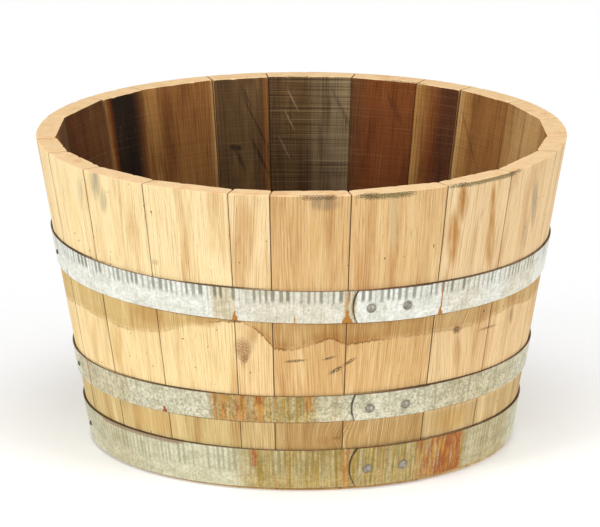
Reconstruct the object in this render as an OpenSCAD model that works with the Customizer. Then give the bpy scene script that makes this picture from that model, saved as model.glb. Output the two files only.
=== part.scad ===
/* [Tub] */
// Outside diameter across the rim
rim_d = 700; // [660:1:900]
// Outside diameter across the foot
foot_d = 557; // [520:1:620]
// Height from the floor to the rim
tub_h = 409; // [380:1:560]
// How far the side bulges past a straight line from foot to rim
side_bulge = 0.5; // [0:0.5:8]

/* [Staves] */
// Widths of the staves round the rim, from the right side round by the back
stave_widths = [114, 105, 77, 103, 125, 84, 123, 84, 123, 124, 82, 104, 109, 122, 54, 104, 133, 112, 129, 84, 103]; // [40:1:150]
// Direction of the joint that the first stave starts from, in degrees from the right side
first_joint = 12.3; // [0:0.1:30]
// Thickness in the middle of a stave, whose inside is left flat
stave_t = 30; // [26:0.5:34]
// Gap between neighbouring staves at the rim
stave_gap = 0.3; // [0.1:0.1:0.6]
// Chamfer round the outer edges of the rim and the foot
arris = 1; // [0.5:0.5:3]

/* [Croze] */
// Height of the groove for the head above the floor
croze_z = 45; // [38:1:70]
// Depth of the groove below the hollowed band round it
croze_depth = 5.5; // [4:0.5:7]
// How deep the round hollowed band is cut into the middle of a stave
howel_depth = 5; // [5:0.5:8]
// Thickness of the staves at the foot, where their inner edge is bevelled
chime_t = 15; // [12:0.5:18]

/* [Head] */
// Thickness of the head
head_t = 24; // [18:0.5:28]
// Number of boards in the head
head_board_count = 6; // [4:1:8]
// Thickness of the tongue round the head's edge
tongue_t = 6.4; // [5:0.2:9]
// Width of the bevel from the head's faces down to the tongue
head_bevel_w = 16; // [8:1:24]
// Clearance of the tongue in the groove, on every side
head_fit = 0.3; // [0.2:0.1:0.5]
// Gap between neighbouring head boards
board_gap = 0.2; // [0.1:0.1:0.5]
// Diameter of the dowels that hold the head boards in line
dowel_d = 8; // [6:0.5:12]
// Length of a dowel
dowel_l = 40; // [24:1:50]
// Distance of the dowels from the middle of the head
dowel_reach = 95; // [60:1:110]
// Clearance round a dowel and past its ends
dowel_fit = 0.25; // [0.15:0.05:0.5]

/* [Hoops] */
// Thickness of the hoop iron
hoop_t = 2; // [1.5:0.1:3]
// Clearance between a hoop and the staves
hoop_fit = 0.2; // [0.1:0.1:0.3]
// Clearance between the two layers where a hoop laps over itself
lap_gap = 0.2; // [0.1:0.1:0.3]
// Radius of the rounded end that shows on the outside of a lap
lap_end_r = 42; // [34:1:80]
// Distance between the end of the under layer and the step of the upper layer
joggle_room = 6; // [4:1:12]
// Length of the step where the upper layer comes down to the staves
joggle_l = 8; // [5:1:14]

/* [Upper hoop] */
// Height of the middle of the upper hoop above the floor
upper_hoop_z = 260; // [230:1:300]
// Height of the band of the upper hoop
upper_hoop_h = 44.5; // [30:0.5:55]
// How far the upper hoop sits out of level, in degrees
upper_hoop_tilt = 1; // [0:0.1:2]
// Direction of the low side of the upper hoop, in degrees from the right side
upper_hoop_low = 332; // [0:1:360]
// Direction of the lap of the upper hoop, in degrees from the right side
upper_hoop_lap = 281.6; // [276:0.1:288]

/* [Middle hoop] */
// Height of the middle of the middle hoop above the floor
middle_hoop_z = 115; // [100:1:170]
// Height of the band of the middle hoop
middle_hoop_h = 36.5; // [30:0.5:50]
// How far the middle hoop sits out of level, in degrees
middle_hoop_tilt = 0.7; // [0:0.1:1.5]
// Direction of the low side of the middle hoop, in degrees from the right side
middle_hoop_low = 180; // [0:1:360]
// Direction of the lap of the middle hoop, in degrees from the right side
middle_hoop_lap = 282.3; // [276:0.1:288]

/* [Foot hoop] */
// Gap between the floor and the foot hoop in the middle of its run
foot_hoop_lift = 3.5; // [3:0.5:8]
// Height of the band of the foot hoop
foot_hoop_h = 54; // [40:0.5:60]
// How far the foot hoop sits out of level, in degrees
foot_hoop_tilt = 0.4; // [0:0.1:0.5]
// Direction of the low side of the foot hoop, in degrees from the right side
foot_hoop_low = 180; // [0:1:360]
// Direction of the lap of the foot hoop, in degrees from the right side
foot_hoop_lap = 282.4; // [276:0.1:288]

/* [Rivets] */
// Distance of a rivet from either end of the lap
rivet_inset = 23.5; // [15:0.5:30]
// Distance between the two rivets of a lap
rivet_pitch = 49; // [30:1:60]
// Distance of the rivets below the middle of the band
rivet_drop = 2.5; // [0:0.5:5]
// Diameter of a rivet's shank
rivet_d = 5; // [4:0.5:6]
// Diameter of a rivet's domed head
rivet_head_d = 10.5; // [9:0.5:14]
// Height of a rivet's domed head
rivet_head_h = 3; // [2:0.25:4]
// Diameter of a rivet's spread tail, let into the under layer
rivet_tail_d = 8; // [7:0.5:9]
// Clearance round a rivet and under its head
rivet_fit = 0.15; // [0.1:0.05:0.3]

/* [Hoop nails] */
// Number of nails through each hoop
nail_count = 3; // [1:1:3]
// Turn from the lap to the first nail and from nail to nail, in degrees
nail_step = 89; // [86:0.5:92]
// Diameter of a nail's shank
nail_d = 2.6; // [2:0.2:3.4]
// Length of a nail under its head
nail_l = 14; // [8:0.5:18]
// Diameter of a nail's head
nail_head_d = 7; // [5:0.5:9]
// Height of a nail's head
nail_head_h = 2.2; // [1:0.2:3]
// Clearance round a nail, under its head and past its point
nail_fit = 0.2; // [0.1:0.05:0.3]

/* [Hidden] */
// Facets of round surfaces, and of small holes and heads
$fn = 240;
small_fn = 48;
// Straight runs that make up the bulged side, and the arc of a rivet or nail head
wall_steps = 6;
dome_steps = 6;
// Room by which a cutting body passes the face that it cuts
past = 1;

rim_r = rim_d / 2;
foot_r = foot_d / 2;
// Lean of the side from upright, in degrees
wall_lean = atan2(rim_r - foot_r, tub_h);

// Radius of the outside of the staves at a height, a shallow arch on a straight cone
function wall_r(z) =
    foot_r + (rim_r - foot_r) * z / tub_h + 4 * side_bulge * z / tub_h * (1 - z / tub_h);
// Distance of the flat inside of the staves from the tub's axis at a height
function flat_r(z) = foot_r - stave_t + (rim_r - foot_r) * z / tub_h;
// Points up the side from one height to another, a set distance outside the staves
function wall_line(low, high, out, steps) =
    [for (i = [0:steps]) let (z = low + (high - low) * i / steps) [wall_r(z) + out, z]];
function backwards(v) = [for (i = [len(v) - 1:-1:0]) v[i]];
// Sum of the first n entries of a list
function first_sum(v, n) = n == 0 ? 0 : v[n - 1] + first_sum(v, n - 1);
// Angle that a length takes up round a circle
function arc_angle(length, r) = length / r * 180 / PI;
// Smallest turn between two directions
function turn_between(a, b) = abs((a - b + 900) % 360 - 180);

stave_count = len(stave_widths);
rim_share = first_sum(stave_widths, stave_count);
function joint_angle(i) = first_joint + 360 * first_sum(stave_widths, i) / rim_share;
function two_digits(i) = str(i < 10 ? "0" : "", i);
function stave_name(i) = str("stave_", two_digits(i));
gap_angle = arc_angle(stave_gap, rim_r);
// The block that a stave's flat inside is cut from reaches past the flat
stave_block_t = stave_t + past;

croze_w = tongue_t + 2 * head_fit;
howel_r = flat_r(croze_z) + howel_depth;
croze_r = howel_r + croze_depth;
chime_r = foot_r - chime_t;
// Height of the howel's lower end, where the bevel of the chime starts
chime_bevel_z = croze_z - croze_w;
// Height at which the howel has run out of the leaning flats
howel_top_z = croze_z + howel_depth * tub_h / (rim_r - foot_r) + past;

head_r = croze_r - head_fit;
tongue_r = howel_r - head_fit;
head_face_r = tongue_r - head_bevel_w;
board_w = 2 * head_r / head_board_count;
function board_edge(i) = -head_r + i * board_w;
function board_name(i) = str("head_board_", i + 1);

// Each hoop's name, middle height, band height, tilt, low side and lap
HOOPS = [
    ["upper_hoop", upper_hoop_z, upper_hoop_h, upper_hoop_tilt, upper_hoop_low, upper_hoop_lap],
    ["middle_hoop", middle_hoop_z, middle_hoop_h, middle_hoop_tilt, middle_hoop_low, middle_hoop_lap],
    ["foot_hoop", foot_hoop_lift + foot_hoop_h / 2, foot_hoop_h, foot_hoop_tilt, foot_hoop_low, foot_hoop_lap]
];
function hoop_name(h) = h[0];
function hoop_z(h) = h[1];
function band_h(h) = h[2];
function tilt(h) = h[3];
function low_side(h) = h[4];
function lap_start(h) = h[5];
function hoop_r(h) = wall_r(hoop_z(h));
// Height of the middle of a tilted band in a direction
function band_z(h, a) = hoop_z(h) - tan(tilt(h)) * hoop_r(h) * cos(a - low_side(h));
lap_l = 2 * rivet_inset + rivet_pitch;
// The upper layer starts a little early, and its rounded end is cut from it
function lap_blank_start(h) = lap_start(h) - arc_angle(past, hoop_r(h));
function lap_end(h) = lap_start(h) + arc_angle(lap_l, hoop_r(h));
function joggle_start(h) = lap_end(h) + arc_angle(joggle_room, hoop_r(h));
function joggle_end(h) = joggle_start(h) + arc_angle(joggle_l, hoop_r(h));
// The web that joins the layers keeps clear of both ends of the step
web_inset = joggle_l / 4;
function web_start(h) = joggle_start(h) + arc_angle(web_inset, hoop_r(h));
function web_end(h) = joggle_end(h) - arc_angle(web_inset, hoop_r(h));
function rivet_angle(h, i) = lap_start(h) + arc_angle(rivet_inset + i * rivet_pitch, hoop_r(h));
function nail_angle(h, i) = lap_start(h) - nail_step * (i + 1);

// Distances outside the staves of the faces of the two layers of hoop iron
under_face = hoop_fit + hoop_t;
upper_layer = under_face + lap_gap;
upper_face = upper_layer + hoop_t;
// Distance outside the staves at which a rivet's spread tail has narrowed to its shank
tail_top = hoop_fit + hoop_t * 3 / 4;

// Turns the children out of the side, with Z square to the side and X down it
module on_wall(angle, z) {
    rotate([0, 0, angle])
        translate([wall_r(z), 0, z])
            rotate([0, 90 + wall_lean, 0])
                children();
}

// Half outline of a domed head from its crown to its rim, standing on a seat
function dome(d, h, seat) =
    let (r = (d * d / 4 + h * h) / (2 * h))
    [for (i = [0:dome_steps])
        let (a = asin(d / 2 / r) * i / dome_steps)
        [r * sin(a), seat + h - r + r * cos(a)]];

module nail_hole(h, i) {
    a = nail_angle(h, i);
    depth = nail_l + nail_fit - under_face;
    on_wall(a, band_z(h, a))
        translate([0, 0, -depth])
            cylinder(d = nail_d + 2 * nail_fit, h = depth + upper_face, $fn = small_fn);
}

// Body inside the tub up to the flat inside of one stave, which lies across X
module flat_inside() {
    low = -past;
    high = tub_h + past;
    rotate([90, 0, 0])
        linear_extrude(height = rim_d, center = true)
            polygon([[0, low], [flat_r(low), low], [flat_r(high), high], [0, high]]);
}

// Body turned out of the staves' lower ends: bevelled chime, croze and howel
module croze_cut() {
    rotate_extrude()
        polygon([
            [0, -past],
            [chime_r, -past],
            [chime_r, 0],
            [howel_r, chime_bevel_z],
            [howel_r, croze_z - croze_w / 2],
            [croze_r, croze_z - croze_w / 2],
            [croze_r, croze_z + croze_w / 2],
            [howel_r, croze_z + croze_w / 2],
            [howel_r, howel_top_z],
            [0, howel_top_z]
        ]);
}

module stave(i) {
    from = joint_angle(i - 1) + gap_angle / 2;
    to = joint_angle(i) - gap_angle / 2;
    mid = (from + to) / 2;
    outside = concat(
        [[foot_r - arris, 0]],
        wall_line(arris, tub_h - arris, 0, wall_steps),
        [[rim_r - arris, tub_h]]
    );
    color(i % 2 == 0 ? "burlywood" : "tan")
        difference() {
            rotate([0, 0, from])
                rotate_extrude(angle = to - from)
                    polygon(concat(outside, [[rim_r - stave_block_t, tub_h], [foot_r - stave_block_t, 0]]));
            rotate([0, 0, mid])
                flat_inside();
            croze_cut();
            for (h = HOOPS)
                for (n = [0:nail_count - 1])
                    if (turn_between(nail_angle(h, n), mid) < (to - from) / 2 + arc_angle(nail_d, foot_r))
                        nail_hole(h, n);
        }
}

// The whole head, bevelled on both faces down to the tongue in the croze
module head_disc() {
    rotate_extrude()
        polygon([
            [0, croze_z - head_t / 2],
            [head_face_r, croze_z - head_t / 2],
            [tongue_r, croze_z - tongue_t / 2],
            [head_r, croze_z - tongue_t / 2],
            [head_r, croze_z + tongue_t / 2],
            [tongue_r, croze_z + tongue_t / 2],
            [head_face_r, croze_z + head_t / 2],
            [0, croze_z + head_t / 2]
        ]);
}

// Cylinders across the joints between the head boards, two to a joint
module dowel_rows(d, l) {
    for (i = [1:head_board_count - 1])
        for (side = [-1, 1])
            translate([side * dowel_reach, board_edge(i), croze_z])
                rotate([90, 0, 0])
                    cylinder(d = d, h = l, center = true, $fn = small_fn);
}

module head_board(i) {
    first = i == 0 ? past : 0;
    last = i == head_board_count - 1 ? past : 0;
    color(i % 2 == 0 ? "peru" : "sandybrown")
        difference() {
            intersection() {
                head_disc();
                translate([-head_r - past, board_edge(i) + board_gap / 2 - first, 0])
                    cube([2 * (head_r + past), board_w - board_gap + first + last, croze_z + head_t]);
            }
            dowel_rows(dowel_d + 2 * dowel_fit, dowel_l + 2 * dowel_fit);
        }
}

module head_dowels() {
    color("wheat")
        dowel_rows(dowel_d, dowel_l);
}

// Sector of a shell that follows the staves, between two distances outside them
module wall_shell(h, inner, outer, from, to) {
    reach = band_h(h) / 2 + tan(tilt(h)) * rim_r + past;
    low = hoop_z(h) - reach;
    high = hoop_z(h) + reach;
    rotate([0, 0, from])
        rotate_extrude(angle = to - from)
            polygon(concat(wall_line(low, high, outer, 1), backwards(wall_line(low, high, inner, 1))));
}

// Flat slice as high as a hoop's band, laid out of level as the hoop is
module band_slice(h) {
    translate([0, 0, hoop_z(h)])
        rotate([0, 0, low_side(h)])
            rotate([0, tilt(h), 0])
                cylinder(r = rim_r + upper_face, h = band_h(h), center = true);
}

// What is left outside the rounded end of a lap, cut square through the side
module lap_end_cut(h) {
    half = band_h(h) / 2 / cos(wall_lean) + upper_face * sin(wall_lean) + past;
    setback = lap_end_r - sqrt(lap_end_r * lap_end_r - half * half);
    on_wall(lap_start(h), band_z(h, lap_start(h)))
        linear_extrude(height = 4 * upper_face, center = true)
            difference() {
                translate([-half, -2 * past])
                    square([2 * half, 2 * past + setback]);
                translate([0, lap_end_r])
                    circle(r = lap_end_r);
            }
}

// Outline of one rivet: spread tail in the under layer, shank and domed head
function rivet_outline(fit) = concat(
    [[0, hoop_fit], [rivet_tail_d / 2 + fit, hoop_fit]],
    [[rivet_d / 2 + fit, tail_top]],
    [[rivet_d / 2 + fit, upper_face + rivet_fit]]
);

module rivet_hole(h, i) {
    a = rivet_angle(h, i);
    on_wall(a, band_z(h, a) - rivet_drop) {
        rotate_extrude($fn = small_fn)
            polygon(concat(rivet_outline(rivet_fit), [[0, upper_face + rivet_fit]]));
        translate([0, 0, -past])
            cylinder(d = rivet_tail_d + 2 * rivet_fit, h = past + hoop_fit, $fn = small_fn);
    }
}

module hoop(h) {
    color("lightgray")
        difference() {
            intersection() {
                union() {
                    wall_shell(h, hoop_fit, under_face, joggle_start(h), lap_end(h) + 360);
                    wall_shell(h, under_face - hoop_t / 2, upper_face - hoop_t / 2, web_start(h), web_end(h));
                    difference() {
                        wall_shell(h, upper_layer, upper_face, lap_blank_start(h), joggle_end(h));
                        lap_end_cut(h);
                    }
                }
                band_slice(h);
            }
            for (i = [0:1])
                rivet_hole(h, i);
            for (i = [0:nail_count - 1])
                nail_hole(h, i);
        }
}

module hoop_rivets(h) {
    color("dimgray")
        for (i = [0:1])
            let (a = rivet_angle(h, i))
                on_wall(a, band_z(h, a) - rivet_drop)
                    rotate_extrude($fn = small_fn)
                        polygon(concat(
                            rivet_outline(0),
                            backwards(dome(rivet_head_d, rivet_head_h, upper_face + rivet_fit))
                        ));
}

module hoop_nails(h) {
    seat = under_face + nail_fit;
    color("dimgray")
        for (i = [0:nail_count - 1])
            let (a = nail_angle(h, i))
                on_wall(a, band_z(h, a))
                    rotate_extrude($fn = small_fn)
                        polygon(concat(
                            [[0, seat - nail_l], [nail_d / 2, seat - nail_l + nail_d], [nail_d / 2, seat]],
                            backwards(dome(nail_head_d, nail_head_h, seat))
                        ));
}

for (i = [1:stave_count])
    stave(i);
for (i = [0:head_board_count - 1])
    head_board(i);
head_dowels();
for (h = HOOPS) {
    hoop(h);
    hoop_rivets(h);
    hoop_nails(h);
}
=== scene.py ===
"""Half barrel tub: 21 sawn oak staves and a boarded head, held by three galvanised iron hoops.

Metres, +Z up, with the origin under the middle of the foot. A direction is in degrees round the tub
from its right side, so that the front is at 270.
"""

import logging
import math
from dataclasses import dataclass, field
from enum import Enum, IntEnum
from typing import Callable, Sequence

import bpy
import numpy as np
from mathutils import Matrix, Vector


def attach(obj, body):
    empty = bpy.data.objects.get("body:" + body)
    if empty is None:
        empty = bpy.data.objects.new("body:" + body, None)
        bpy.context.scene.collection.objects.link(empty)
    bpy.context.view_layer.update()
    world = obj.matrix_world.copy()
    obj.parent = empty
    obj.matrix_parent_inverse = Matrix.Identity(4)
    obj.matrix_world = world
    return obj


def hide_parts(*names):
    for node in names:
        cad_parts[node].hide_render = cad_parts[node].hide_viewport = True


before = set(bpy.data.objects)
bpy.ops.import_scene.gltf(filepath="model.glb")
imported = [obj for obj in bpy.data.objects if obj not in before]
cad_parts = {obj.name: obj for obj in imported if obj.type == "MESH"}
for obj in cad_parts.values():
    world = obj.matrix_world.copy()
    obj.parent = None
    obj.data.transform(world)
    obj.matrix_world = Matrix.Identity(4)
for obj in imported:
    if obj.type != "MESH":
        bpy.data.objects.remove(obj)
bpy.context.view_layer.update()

LOG = logging.getLogger("tub")
MM = 0.001
FRONT = 270.0
Colour = tuple[float, float, float]  # linear
Screen = tuple[int, int, int]  # 0 to 255
Dirt = tuple[tuple[float, float, float], ...]  # stretches of dirt on the rim
Socket = bpy.types.NodeSocket
Value = Socket | float | Sequence[float]  # what may feed a node's input
RUST_DEEP: Screen = (144, 72, 22)
RUST_PALE: Screen = (186, 126, 46)
OUTSIDE, INSIDE, END = range(3)  # material slots of a stave
FACE, EDGE = range(2)  # material slots of a hoop


class Seed(IntEnum):
    """Seeds of what is drawn at random. A stave adds its number, and a hoop takes small ones of its own."""

    INSIDE_TONE = 5
    OUTER_CHIPS = 11
    INNER_CHIPS = 12
    FLAT = 100
    HOLLOW = 300
    JOINT = 500
    GRAIN = 700


def linear(colour: Sequence[float]) -> Colour:
    """Linear light of a colour written as 0 to 255 on a screen.

    Args:
        colour: Red, green and blue from 0 to 255.
    Returns:
        Red, green and blue from 0 to 1, linear.
    """
    c = np.asarray(colour, float) / 255
    low = c / 12.92
    high = ((c + 0.055) / 1.055) ** 2.4
    return tuple(float(v) for v in np.where(c <= 0.04045, low, high))


class Tone(Enum):
    """Screen colours of the wood, by plain names: first the weathered outside, then the stained inside."""

    PALE = (248, 224, 171)
    STRAW = (240, 212, 161)
    SAND = (234, 204, 156)
    HONEY = (224, 187, 131)
    TAN = (216, 178, 122)
    OCHRE = (190, 150, 96)
    AMBER = (170, 124, 67)
    TOBACCO = (144, 97, 50)
    RUSSET = (120, 66, 28)
    MAHOGANY = (86, 48, 25)
    SLATE = (128, 110, 82)
    SMOKE = (91, 68, 41)
    UMBER = (98, 62, 33)
    SOOT = (38, 26, 17)


def smooth(low: float, high: float, x: np.ndarray) -> np.ndarray:
    """Smooth step from 0 at low to 1 at high.

    Args:
        low: Value at which the step starts.
        high: Value at which it ends, which may lie below low.
        x: Values to map.
    Returns:
        The step, 3t^2 - 2t^3 with t the clamped share of the way.
    """
    t = np.clip((x - low) / (high - low), 0, 1)
    return t * t * (3 - 2 * t)


def polar(radius: np.ndarray | float, angle: np.ndarray, z: np.ndarray) -> np.ndarray:
    """Points from their distances from an axis, angles round it and heights, shape (n, 3)."""
    return np.stack([radius * np.cos(angle), radius * np.sin(angle), z], axis=1)


def turn_between(directions: np.ndarray, middle: float) -> np.ndarray:
    """Angles between directions and a middle one, the shorter way round, in degrees."""
    return np.abs((directions - middle + 180) % 360 - 180)


def ripple(points: np.ndarray, size: float, seed: int, waves: int = 7) -> np.ndarray:
    """Smooth wandering values: a sum of sine waves in random directions, each about size long.

    Args:
        points: Array of shape (n, k) in metres.
        size: Length of a wave in metres.
        seed: Seed of the directions and phases.
        waves: Number of waves.
    Returns:
        Array of n values, mostly between -1 and 1.
    """
    rng = np.random.default_rng(seed)
    heading = rng.normal(size=(waves, points.shape[1]))
    heading /= np.linalg.norm(heading, axis=1, keepdims=True)
    heading *= 2 * np.pi / size * rng.uniform(0.6, 1.7, (waves, 1))
    phase = rng.uniform(0, 2 * np.pi, waves)
    return np.sin(points @ heading.T + phase).sum(axis=1) / math.sqrt(waves) / 1.2


def stations(length: float, step: float, corner: float) -> np.ndarray:
    """Places along an edge: even in the middle and close together at both ends.

    Args:
        length: Length of the edge.
        step: Distance between the places in the middle.
        corner: Length at either end that is to be well rounded.
    Returns:
        Rising array from 0 to length.
    """
    ends = corner * np.array([0.0, 0.13, 0.32, 0.6, 1.0])
    count = max(2, int(round((length - 2 * corner) / step)) + 1)
    middle = np.linspace(corner, length - corner, count)[1:-1]
    return np.concatenate([ends, middle, length - ends[::-1]])


def lattice_quads(grid: np.ndarray) -> np.ndarray:
    """Quads over a grid of point numbers, shape (n, 4): along its rows first, then its columns."""
    corners = [grid[:-1, :-1], grid[1:, :-1], grid[1:, 1:], grid[:-1, 1:]]
    return np.stack(corners, axis=-1).reshape(-1, 4)


class BlockFace(Enum):
    """The six faces of a block whose axes run along, inwards and up."""

    START = 0
    END = 1
    OUTSIDE = 2
    INSIDE = 3
    FOOT = 4
    TOP = 5


@dataclass
class Block:
    """Skin of a lattice block, whose points a shape formula then moves.

    The axes are along (counter-clockwise round the tub), inwards and up, which is right-handed, so
    the faces point outwards.
    """

    along: np.ndarray
    inward: np.ndarray
    up: np.ndarray
    points: np.ndarray = field(init=False)
    quads: np.ndarray = field(init=False)
    faces: np.ndarray = field(init=False)

    def __post_init__(self) -> None:
        """Keeps the lattice's outer points and lays quads over its six sides."""
        shape = (len(self.along), len(self.inward), len(self.up))
        i, j, k = np.indices(shape)
        skin = np.zeros(shape, bool)
        for n, last in zip((i, j, k), np.array(shape) - 1):
            skin |= (n == 0) | (n == last)
        number = np.full(shape, -1)
        number[skin] = np.arange(skin.sum())
        self.points = np.stack([self.along[i[skin]], self.inward[j[skin]], self.up[k[skin]]], axis=1)
        sheets = {
            BlockFace.START: self._sheet(number[0], True),
            BlockFace.END: self._sheet(number[-1], False),
            BlockFace.OUTSIDE: self._sheet(number[:, 0], False),
            BlockFace.INSIDE: self._sheet(number[:, -1], True),
            BlockFace.FOOT: self._sheet(number[:, :, 0], True),
            BlockFace.TOP: self._sheet(number[:, :, -1], False),
        }
        self.quads = np.concatenate(list(sheets.values()))
        self.faces = np.concatenate([np.full(len(s), f.value) for f, s in sheets.items()])

    @staticmethod
    def _sheet(grid: np.ndarray, flip: bool) -> np.ndarray:
        """Quads over a grid of point numbers, turned over if flip is set."""
        quads = lattice_quads(grid)
        return quads[:, ::-1] if flip else quads

    def rounded(self, size: np.ndarray, radius: np.ndarray) -> np.ndarray:
        """The block's points with its edges and corners rounded.

        A point is pulled to its distance, radius, from the nearest point of a block that is smaller
        by radius on every side. Where radius grows, the edge is worn or chipped away.

        Args:
            size: The block's size at each point, shape (n, 3).
            radius: Radius of the edges at each point, shape (n,).
        Returns:
            Array of shape (n, 3).
        """
        r = radius[:, None]
        core = np.clip(self.points, r, size - r)
        out = self.points - core
        length = np.maximum(np.linalg.norm(out, axis=1, keepdims=True), 1e-9)
        return core + out / length * np.minimum(r, length)


@dataclass(frozen=True)
class Side:
    """Outside of the staves: a shallow arch on a straight cone."""

    rim_r: float = 350 * MM
    foot_r: float = 278.5 * MM
    height: float = 409 * MM
    bulge: float = 0.5 * MM

    def radius(self, z: np.ndarray | float) -> np.ndarray | float:
        """Radius at a height: the cone's, and 4 bulge t (1 - t) with t the share of the height."""
        t = z / self.height
        return self.foot_r + (self.rim_r - self.foot_r) * t + 4 * self.bulge * t * (1 - t)

    def lean(self) -> float:
        """Lean of the side from upright, in radians."""
        return math.atan2(self.rim_r - self.foot_r, self.height)

    def place(self, direction: float, z: float) -> tuple[float, float]:
        """Place of a mark on the unrolled side.

        Args:
            direction: Direction of the mark in degrees.
            z: Its height in metres.
        Returns:
            Arc length from the front, and height, in metres.
        """
        return math.radians(direction - FRONT) * float(self.radius(z)), z

    def frame(self, direction: float, z: float) -> np.ndarray:
        """Axes of a piece driven into the side: down the side, along it, and out of it, with its foot.

        Args:
            direction: Direction of the piece in degrees.
            z: Height of its middle in metres.
        Returns:
            Array of shape (4, 3): three unit axes and the point on the side.
        """
        a, lean = math.radians(direction), self.lean()
        out = np.array([math.cos(a) * math.cos(lean), math.sin(a) * math.cos(lean), -math.sin(lean)])
        along = np.array([-math.sin(a), math.cos(a), 0.0])
        foot = np.array([math.cos(a), math.sin(a), 0.0]) * float(self.radius(z)) + np.array([0, 0, z])
        return np.stack([np.cross(along, out), along, out, foot])


@dataclass(frozen=True)
class Band:
    """Place of one hoop on the side."""

    name: str
    z: float
    height: float
    tilt: float
    low_side: float
    lap: float

    def middle(self, side: Side, direction: np.ndarray | float) -> np.ndarray | float:
        """Height of the middle of the tilted band in a direction: lowest at its low side."""
        slope = math.tan(math.radians(self.tilt)) * float(side.radius(self.z))
        return self.z - slope * np.cos(np.radians(direction - self.low_side))


BANDS = (
    Band("upper_hoop", 260 * MM, 44.5 * MM, 1.0, 332, 281.6),
    Band("middle_hoop", 115 * MM, 36.5 * MM, 0.7, 180, 282.3),
    Band("foot_hoop", 30.5 * MM, 54 * MM, 0.4, 180, 282.4),
)


def new_object(name: str, data: bpy.types.ID) -> bpy.types.Object:
    """Puts data into the scene as an object.

    Args:
        name: Name of the object.
        data: Its mesh, lamp or camera.
    Returns:
        The object.
    """
    made = bpy.data.objects.new(name, data)
    bpy.context.scene.collection.objects.link(made)
    return made


def new_piece(name: str, points: np.ndarray, quads: np.ndarray, slots: np.ndarray,
              materials: Sequence[bpy.types.Material], data: dict[str, np.ndarray]) -> bpy.types.Object:
    """Puts points and quads into a mesh object at the origin, and hangs it on the tub.

    Args:
        name: Name of the piece.
        points: Array of shape (n, 3) in metres.
        quads: Array of shape (m, 4) of point numbers.
        slots: Material index of each quad.
        materials: The piece's materials.
        data: Values for the materials at each point, of one or three numbers.
    Returns:
        The new object.
    """
    mesh = bpy.data.meshes.new(name)
    mesh.vertices.add(len(points))
    mesh.vertices.foreach_set("co", points.astype(np.float32).ravel())
    mesh.loops.add(quads.size)
    mesh.loops.foreach_set("vertex_index", quads.astype(np.int32).ravel())
    mesh.polygons.add(len(quads))
    mesh.polygons.foreach_set("loop_start", np.arange(0, quads.size, 4, dtype=np.int32))
    mesh.polygons.foreach_set("material_index", slots.astype(np.int32))
    mesh.update(calc_edges=True)
    mesh.shade_smooth()
    mesh.set_sharp_from_angle(angle=math.radians(38))
    for key, values in data.items():
        kind, field_name = ("FLOAT", "value") if values.ndim == 1 else ("FLOAT_VECTOR", "vector")
        attribute = mesh.attributes.new(key, kind, "POINT")
        attribute.data.foreach_set(field_name, values.astype(np.float32).ravel())
    for material in materials:
        mesh.materials.append(material)
    piece = new_object(name, mesh)
    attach(piece, "root")
    return piece


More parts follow.
